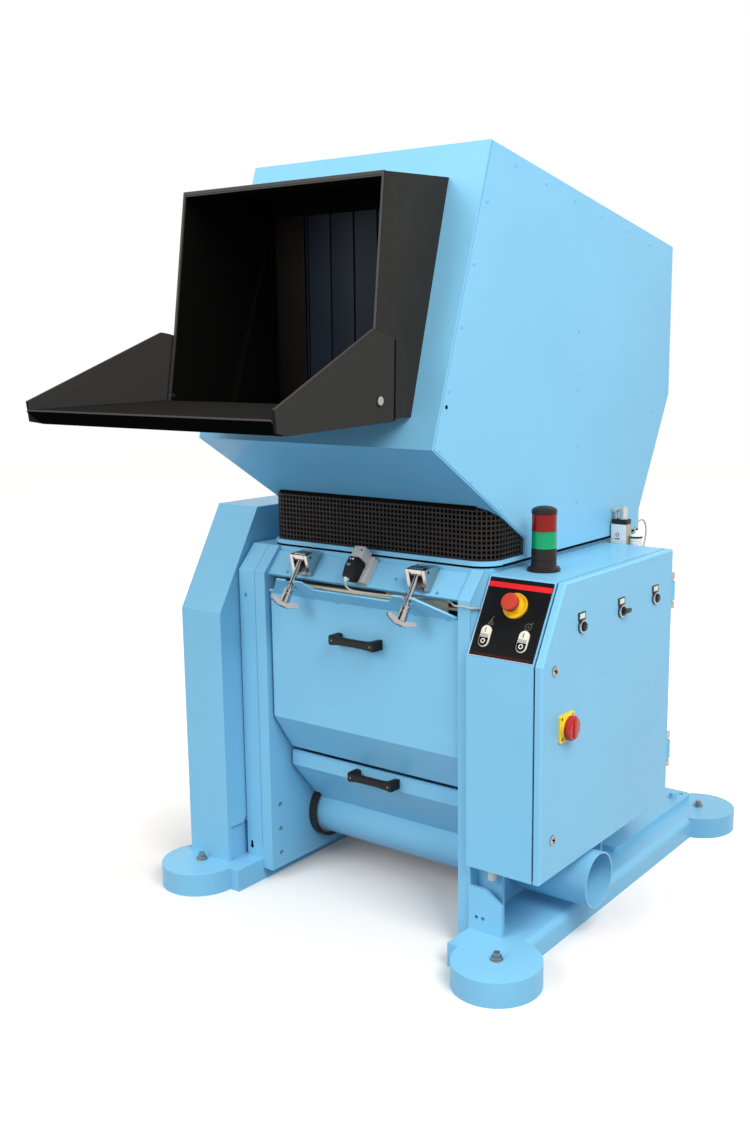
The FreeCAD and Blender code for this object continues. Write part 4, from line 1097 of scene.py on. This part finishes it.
# %% Selectors
LEVER_Y = -116.0
frames, labels, rings, caps, lever = (bmesh.new() for _ in range(5))
for y in (-312.0, LEVER_Y, 70.0):
    place = Spot((DOOR_X, y, 785), *RIGHT)
    slab(frames, place, rounded(33, 19, 2, 5, 0, 23), 0.0, 2.6, 0.8)
    turned(frames, place, [(16.4, 0.0), (16.4, 1.8), (15.6, 2.5)], 40)
    slab(labels, place, rounded(23, 12, 1.2, 3, 0, 24), 2.4, 3.2, 0.3)
    ring(rings, place, [(15.0, 2.4), (15.0, 6.2), (13.8, 7.4), (12.0, 7.4), (11.4, 6.4),
                        (11.4, 2.4)], 40)
    if y == LEVER_Y:
        turned(caps, place, [(11.0, 2.4), (11.0, 9.0), (10.0, 10.4), (7.0, 10.8)], 36)
        rows = []
        for t, half, low, high in ((-6, 4.2, 9.0, 14.5), (2, 4.8, 9.2, 15.8),
                                   (12, 5.2, 10.5, 15.9), (22, 5.0, 12.0, 15.9),
                                   (27, 3.2, 12.8, 15.4)):
            rows.append([place(t, -half, low), place(t, half, low), place(t, half, high),
                         place(t, -half, high)])
        skin(lever, rows)
    else:
        turned(caps, place, [(11.0, 2.4), (11.0, 9.0), (10.2, 11.0), (8.0, 12.0), (2.0, 12.3)], 36)
for name, bm, mat, slot in (("frames", frames, "black_plastic", "black_plastic"),
                            ("labels", labels, "cream_plastic", "cream_plastic"),
                            ("rings", rings, "stainless", "stainless"),
                            ("caps", caps, "panel_black", "black_plastic"),
                            ("lever", lever, "black_plastic", "black_plastic")):
    piece("selector_" + name, bm, "cabinet_door", mat, "selectors")
print("three selectors")

# %% [markdown]
# ## Door locks
# Two quarter-turn locks close the cabinet. Each is a steel insert with a round
# core. Its slot for the key could be cut, but at this size a dark mark across the
# core, painted shade in place of the slot, looks the same.

# %% Door locks
inserts, slot_shade = bmesh.new(), bmesh.new()
for z in (706.0, 313.0):
    lock = Spot((DOOR_X, -430, z), *RIGHT)
    ring(inserts, lock, [(12.0, 0.0), (12.0, 2.4), (11.0, 3.6), (8.6, 3.9), (7.6, 3.0),
                         (7.6, 0.0)], 40)
    turned(inserts, lock, [(7.4, 0.0), (7.4, 1.6)], 32)
    # painted shade: a dark stroke in place of the key slot
    stroke(slot_shade, lock, [(-6.6, 4.4), (6.6, -4.4)], 4.4, 1.5, 2.0)
piece("lock_inserts", inserts, "cabinet_door", "steel", "door_locks")
piece("lock_slot_shade", slot_shade, "cabinet_door", "black_and_shade", "door_locks")
print("two door locks")

# %% [markdown]
# ## Handles
# The moulded bridge handles are a little dished along the bar and wider at the
# feet. A bevelled box can't do that. So the section is carried along the handle in
# rings that change their height and depth, and its corners stay eased.

# %% Handles
HANDLE_W = 140.0
HANDLE_OUT = 38.0
HANDLE_STEPS = 28
FOOT_FROM, END_FROM = 0.72, 0.97


def bridge(name, body, node, y, z):
    # t runs from one end of the handle, at -1, to the other, at 1
    bm = bmesh.new()
    rows = []
    for i in range(HANDLE_STEPS + 1):
        t = -1.0 + 2.0 * i / HANDLE_STEPS
        x = t * HANDLE_W / 2
        tall = 9.0 + 4.2 * abs(t) ** 3.0
        front = HANDLE_OUT - 1.2 * (1.0 - t * t)
        if abs(t) > END_FROM:
            tall -= 1.4
            front -= 1.6
        seat = 0.0 if abs(t) > FOOT_FROM else HANDLE_OUT - 13.5
        rows.append([P(x, y - seat, z - tall), P(x, y - front + 2.6, z - tall),
                     P(x, y - front, z - tall + 3.2), P(x, y - front, z + tall - 3.2),
                     P(x, y - front + 2.6, z + tall), P(x, y - seat, z + tall)])
    skin(bm, rows)
    piece(name, bm, body, "handle_black", node)
    end = HANDLE_W / 2 - 10
    screws(name + "_screws", Spot((0, y - HANDLE_OUT, z), *FRONT), [(-end, 0), (end, 0)], 2.6, 0.7,
           body, "grey_print")


bridge("door_pull", "screen_door", "door_handle", -448.0, 703.0)
bridge("trough_pull", "suction_trough", "trough_handle", -385.0, 332.0)
print("two bridge handles")

# %% [markdown]
# ## Swing bolts and clevises
# The steel bolts keep their CAD shape. Added is what is too fine for the solids:
# the hex socket in the wing, drawn as a dark mark of painted shade, the washer under
# the nut and the dark ends of the pivot pins in the clevis cheeks. Under the door's
# lip lies a round rod, its pale colour a painted reflection, and behind it the end
# of the screen's carrier plate.

# %% Bolt details
BOLT_X, BOLT_Y, BOLT_Z = 181, -449.70, 894.67
CHEEK = 28
down = Vector((0, -0.559, -0.829))
turn = math.radians(54)
wing = Vector((math.cos(turn), 0.829 * math.sin(turn), -0.559 * math.sin(turn)))
for sign, side_name in SIDES:
    body = "bolt_" + side_name
    bolt = Spot((sign * BOLT_X, BOLT_Y, BOLT_Z), wing, down.cross(wing))
    # painted shade: the hex socket is a flat dark mark
    bm = bmesh.new()
    slab(bm, bolt, rounded(13, 5, 2.4, 5), 136.6, 137.25)
    piece("bolt_socket_shade_" + side_name, bm, body, "black_and_shade")
    bm = bmesh.new()
    ring(bm, bolt, [(6.3, 91.0), (13.0, 91.0), (13.4, 91.6), (13.4, 92.8), (13.0, 93.2),
                    (6.3, 93.2)], 40)
    ring(bm, bolt, [(11.0, 101.0), (11.6, 101.8), (11.6, 103.2), (11.0, 104.0)], 40)
    piece("bolt_washer_" + side_name, bm, body, "stainless")
    bm = bmesh.new()
    for way, board in ((1, RIGHT), (-1, LEFT)):
        cheek = Spot((sign * BOLT_X + way * CHEEK, BOLT_Y, BOLT_Z), *board)
        turned(bm, cheek, [(3.2, 0.0), (3.2, 0.4)], 20)
    piece("pin_centres_" + side_name, bm, body, "black_and_shade")
# its pale colour is a painted reflection, for the rod lies in the shade of the lip
bm = bmesh.new()
rod_spot = Spot((-291, -427.6, 816.2), *RIGHT)
turned(bm, rod_spot, [(4.0, 0.0), (4.8, 0.8), (4.8, 387.2), (4.0, 388.0)], 20)
piece("screen_rod", bm, "base", "rod_painted_reflection")
bm = bmesh.new()
slab(bm, Spot((156, -424.0, 809), *FRONT), rounded(184, 56, 3, 4), 0.0, 1.0, 0.4)
piece("screen_carrier_end", bm, "base", "olive_grey")
print("sockets, washers, the rod under the lip and the plate behind it")

# %% [markdown]
# ## Safety switch
# A cast grey head and plate with a black contact block in front. The block is
# bevelled all round, carries two small pale lamps and an oval mark, and a nut at
# its lower end holds the lead. Its side outline is carried across in four steps,
# the outer two smaller, which bevels both ends at once.

# %% Safety switch
bm = bmesh.new()
side_outline = [(-2, 20), (-2, 44), (0, 48), (18, 53.4), (22, 54), (49, 54), (52, 51), (52, 20)]
rows = []
for x, t in ((-24, 4.0), (-20, 0.0), (6, 0.0), (10, 4.0)):
    rows.append([])
    for s, h in side_outline:
        along = s + (t if s < 25.0 else -t) * 0.9
        rows[-1].append(slope(x, along, h - (t if h > 40 else 0.0)))
skin(bm, rows)
piece("switch_block", bm, "base", "handle_black", "switch_body")
bm = bmesh.new()
slab(bm, slope, rounded(36, 72, 2.5, 4, 8, 38), 0.0, 20.0, 1.6)
slab(bm, slope, rounded(34, 32, 3.0, 4, -5, 68), 18.0, 50.0, 3.0)
for a in (-14, 5):
    turned(bm, slope, [(3.0, 49.8), (3.0, 50.6), (2.0, 50.9), (1.2, 50.4)], 18, a, 78)
for b in (12, 42):
    turned(bm, slope, [(4.0, 19.8), (4.0, 22.4), (2.6, 23.0), (1.8, 21.6)], 20, 17, b)
piece("switch_casting", bm, "base", "switch_grey", "switch_head")
# painted shade: the head's slot is a flat dark mark
bm = bmesh.new()
slab(bm, slope, rounded(6, 4, 1, 3, 5, 72), 49.6, 50.3)
piece("switch_slot_shade", bm, "base", "black_and_shade")
bm = bmesh.new()
for a, r in ((-13, 2.0), (-5, 2.6)):
    turned(bm, slope, [(r, 53.8), (r, 54.6), (r * 0.6, 55.0)], 18, a, 44)
oval = [(-11 + 4.6 * math.cos(t * math.pi / 10),
         28 + 2.6 * math.sin(t * math.pi / 10)) for t in range(21)]
stroke(bm, slope, oval, 1.3, 53.9, 54.7)
piece("switch_marks", bm, "base", "white_label")
nut = Spot(slope.mm(-12, -2, 37), (1, 0, 0), slope.n)
bm = bmesh.new()
turned(bm, nut, [(8.0, -2.5), (8.0, 1.0), (7.0, 3.0), (5.0, 4.0), (4.4, 8.0), (2.5, 9.5)], 6)
piece("switch_nut", bm, "base", "pale_and_edge_highlight")
print("safety switch with its block, marks and nut")

# %% [markdown]
# ## Control leads
# Both control leads are short, thin and held at both ends, so they could not hang
# another way. Each is a curve with the points of its route as its controls, round
# in section. A simulated cord would have to be led to the same place.

# %% Two control leads
LEAD_R = 2.3


def lead(name, points, node):
    # a round cord through the points of its route
    data = bpy.data.curves.new(name, "CURVE")
    data.dimensions = "3D"
    data.resolution_u = 12
    spline = data.splines.new("NURBS")
    spline.points.add(len(points) - 1)
    for point, place in zip(spline.points, points):
        point.co = (*place, 1.0)
    spline.order_u = 3
    spline.use_endpoint_u = True
    data.bevel_depth = LEAD_R / MM
    data.bevel_resolution = 4
    data.use_fill_caps = True
    data.materials.append(mats["lead_grey"])
    obj = bpy.data.objects.new(name, data)
    scene.collection.objects.link(obj)
    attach(obj, "base")
    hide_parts(node)


switch_route = [slope(-12, -2, 37), slope(-12, -19, 37), P(6, -489, 836), P(34, -472, 831),
                P(70, -461, 829), P(106, -455, 828), P(142, -446, 827), P(178, -434, 829),
                P(214, -428, 833), P(246, -430, 832), P(270, -441, 828), P(284, -457, 828),
                P(300, -469.5, 830), P(319, -466.5, 831), P(341, -466, 829), P(341.5, -449.5, 827),
                P(339.5, -434.5, 823), P(339, -418.5, 819)]
rear_route = [P(412, 202, 924), P(412, 203, 940), P(417, 209, 954), P(423, 220, 960),
              P(427, 232, 950), P(428, 238, 928), P(426, 236, 900), P(424, 224, 874),
              P(423, 204, 856), P(423, 182.6, 848), P(423, 174.6, 846)]
lead("switch_cable", switch_route, "switch_lead")
lead("rear_cable", rear_route, "rear_lead")
print("two control leads")

# %% [markdown]
# ## Position switch behind the cabinet
# An olive case with a white face plate, a black cap and two plungers that end in
# cream rollers with a polished ball on the axle. The two plungers differ only in
# size, so one loop turns both from two rows of measures.

# %% Position switch
bm = bmesh.new()
case_front = Spot((375, 181, 906), *FRONT)
slab(bm, case_front, rounded(43, 77, 1.5, 3), -0.1, 0.9, 0.3)
piece("case_plate", bm, "base", "white_label")
bm = bmesh.new()
flat_ring(bm, case_front, 5.2, 3.4, 0.8, 1.1, -3, 12, 24)
stroke(bm, case_front, [(-9, 1), (3, 1)], 2.6, 0.8, 1.1)
stroke(bm, case_front, [(-9, -22), (-2, -22)], 2.2, 0.8, 1.1)
piece("case_marks", bm, "base", "panel_black")
bm = bmesh.new()
slab(bm, Spot((375, 196, 946), *TOP), rounded(44, 29, 3, 4), 0.0, 13.0, 2.5)
piece("case_cap", bm, "base", "black_plastic", "hopper_switch_cap")
CAP_TOP = 959
cream, chrome = bmesh.new(), bmesh.new()
for post_mesh, x, y, post_r, post_h, axle_h, wheel_r, wheel_x, wide, ball in (
        (chrome, 360, 193, 6.0, 18.0, 22, 8.0, 353.0, 11.0, 4.5),
        (cream, 381, 196, 10.5, 30.0, 25, 9.5, 373.0, 13.0, 6.0)):
    turned(post_mesh, Spot((x, y, CAP_TOP), *TOP),
           [(post_r + 1.5, 0), (post_r + 1.5, 2), (post_r, 3), (post_r, post_h - 2),
            (post_r * 0.8, post_h)], 32)
    wheel = Spot((wheel_x, y, CAP_TOP + axle_h), *RIGHT)
    turned(cream, wheel, [(wheel_r - 1, 0), (wheel_r, 1), (wheel_r, wide - 1), (wheel_r - 1, wide)],
           36)
    turned(chrome, wheel, [(ball * 0.6, wide - 0.5), (ball, wide + 1.2), (ball, wide + 2.6),
                           (ball * 0.75, wide + 4.4),
                           (ball * 0.2, wide + 5.2)], 28)
piece("plunger_rollers", cream, "base", "cream_roller", "switch_rollers")
piece("plunger_posts", chrome, "base", "stainless", "switch_rollers")
print("position switch with two roller plungers")

# %% [markdown]
# ## Rear connector
# The round plug behind the cabinet is moulded white plastic with grip ridges and
# a black rubber ring at each end. The ridges could be separate rings, but their
# outline is easily written as a repeating profile and turned in one go.

# %% Rear connector
bm = bmesh.new()
plug = Spot((416, 202, 874), *TOP)
RIDGES = 5
profile = [(14, 0), (16.6, 1.5)]
for k in range(RIDGES):
    profile += [(16.6, 5 + 7 * k), (15.4, 6 + 7 * k), (15.4, 8 + 7 * k), (16.6, 9 + 7 * k)]
profile += [(16.6, 42), (13, 45), (7, 47), (4, 50)]
turned(bm, plug, profile, 40)
slab(bm, Spot((416, 174.6, 884), (-1, 0, 0), (0, 0, 1)), rounded(24, 12, 2, 3), 0.0, 18.0, 1.0)
piece("connector_shell", bm, "base", "white_label", "rear_fitting")
bm = bmesh.new()
ring(bm, plug, [(16.8, 37.0), (17.0, 37.6), (17.0, 41.0), (16.4, 42.0), (14.0, 42.0), (14.0, 37.0)],
     40)
ring(bm, plug, [(14.0, 0.0), (17.0, 0.0), (17.0, 3.6), (16.4, 4.2), (14.0, 4.2)], 40)
piece("connector_rings", bm, "base", "black_rubber")
print("rear connector")

# %% [markdown]
# ## Motor
# The motor lies across the back of the base. Its shell is turned, then thin
# cooling fins are set round it, and the fan cowl closes the far end. The fins could
# be part of the profile of a cast shell, but set one by one they keep straight,
# tapered sides.

# %% Motor
FINS = 36
FIN_FROM, FIN_TO = 26.0, 254.0
axis = Spot((-190, 450, 230), *RIGHT)
bm = bmesh.new()
turned(bm, axis, [(24, -204.8), (24, -2), (60, 0), (104, 6), (118, 16), (118, 262), (126, 264),
                  (130, 268), (130, 318), (126, 326), (110, 330), (30, 330)], 72)
for k in range(FINS):
    t = 2 * math.pi * (k + 0.5) / FINS
    c, s = math.cos(t), math.sin(t)
    rows = []
    for h in (FIN_FROM, FIN_TO):
        rows.append([axis(r * c - w * s, r * s + w * c, h)
                     for r, w in ((116, -1.8), (129, -1.2), (129, 1.2), (116, 1.8))])
    skin(bm, rows)
piece("motor_shell", bm, "base", "blue_paint", "motor")
# painted shade: the cowl's vent openings are flat dark rings
bm = bmesh.new()
for r in (96, 76, 56):
    flat_ring(bm, axis, r, r - 9, 329.8, 330.6, 0, 0, 56)
piece("motor_vent_shade", bm, "base", "black_and_shade")
print("motor with", FINS, "fins")

# %% [markdown]
# ## Washers and cable gland
# A flat washer lies under each levelling bolt. The gland at the cabinet's foot is
# a beige plastic nut on a twelve-sided body. Turning with few sides gives both
# their flats. The bore is a dark disc of painted shade, because its depth can't be
# seen.

# %% Washers and gland
bm = bmesh.new()
for x in (-470, 470):
    for y in (-557, 557):
        ring(bm, Spot((x, y, 58.5), *TOP), [(8.6, 0.0), (15.0, 0.0), (15.0, 1.6), (14.2, 2.2),
                                            (8.6, 2.2)], 40)
piece("levelling_washers", bm, "base", "steel")
bm = bmesh.new()
GLAND_SIDES, NUT_SIDES = 12, 6
gland = Spot((390, -452, 187), *TOP)
turned(bm, gland, [(6.5, 0.0), (9.8, 1.0), (11.0, 4.0), (11.0, 20.0), (10.4, 22.0)], GLAND_SIDES)
turned(bm, gland, [(13.9, 22.0), (13.9, 33.9)], NUT_SIDES)
piece("gland_nut", bm, "base", "beige_plastic", "gland")
bm = bmesh.new()
bore = Spot((390, -452, 186.8), (1, 0, 0), (0, -1, 0))
turned(bm, bore, [(5.0, 0.0), (5.0, 0.4)], 24)
piece("gland_bore_shade", bm, "base", "black_rubber")
print("washers, gland and bore")
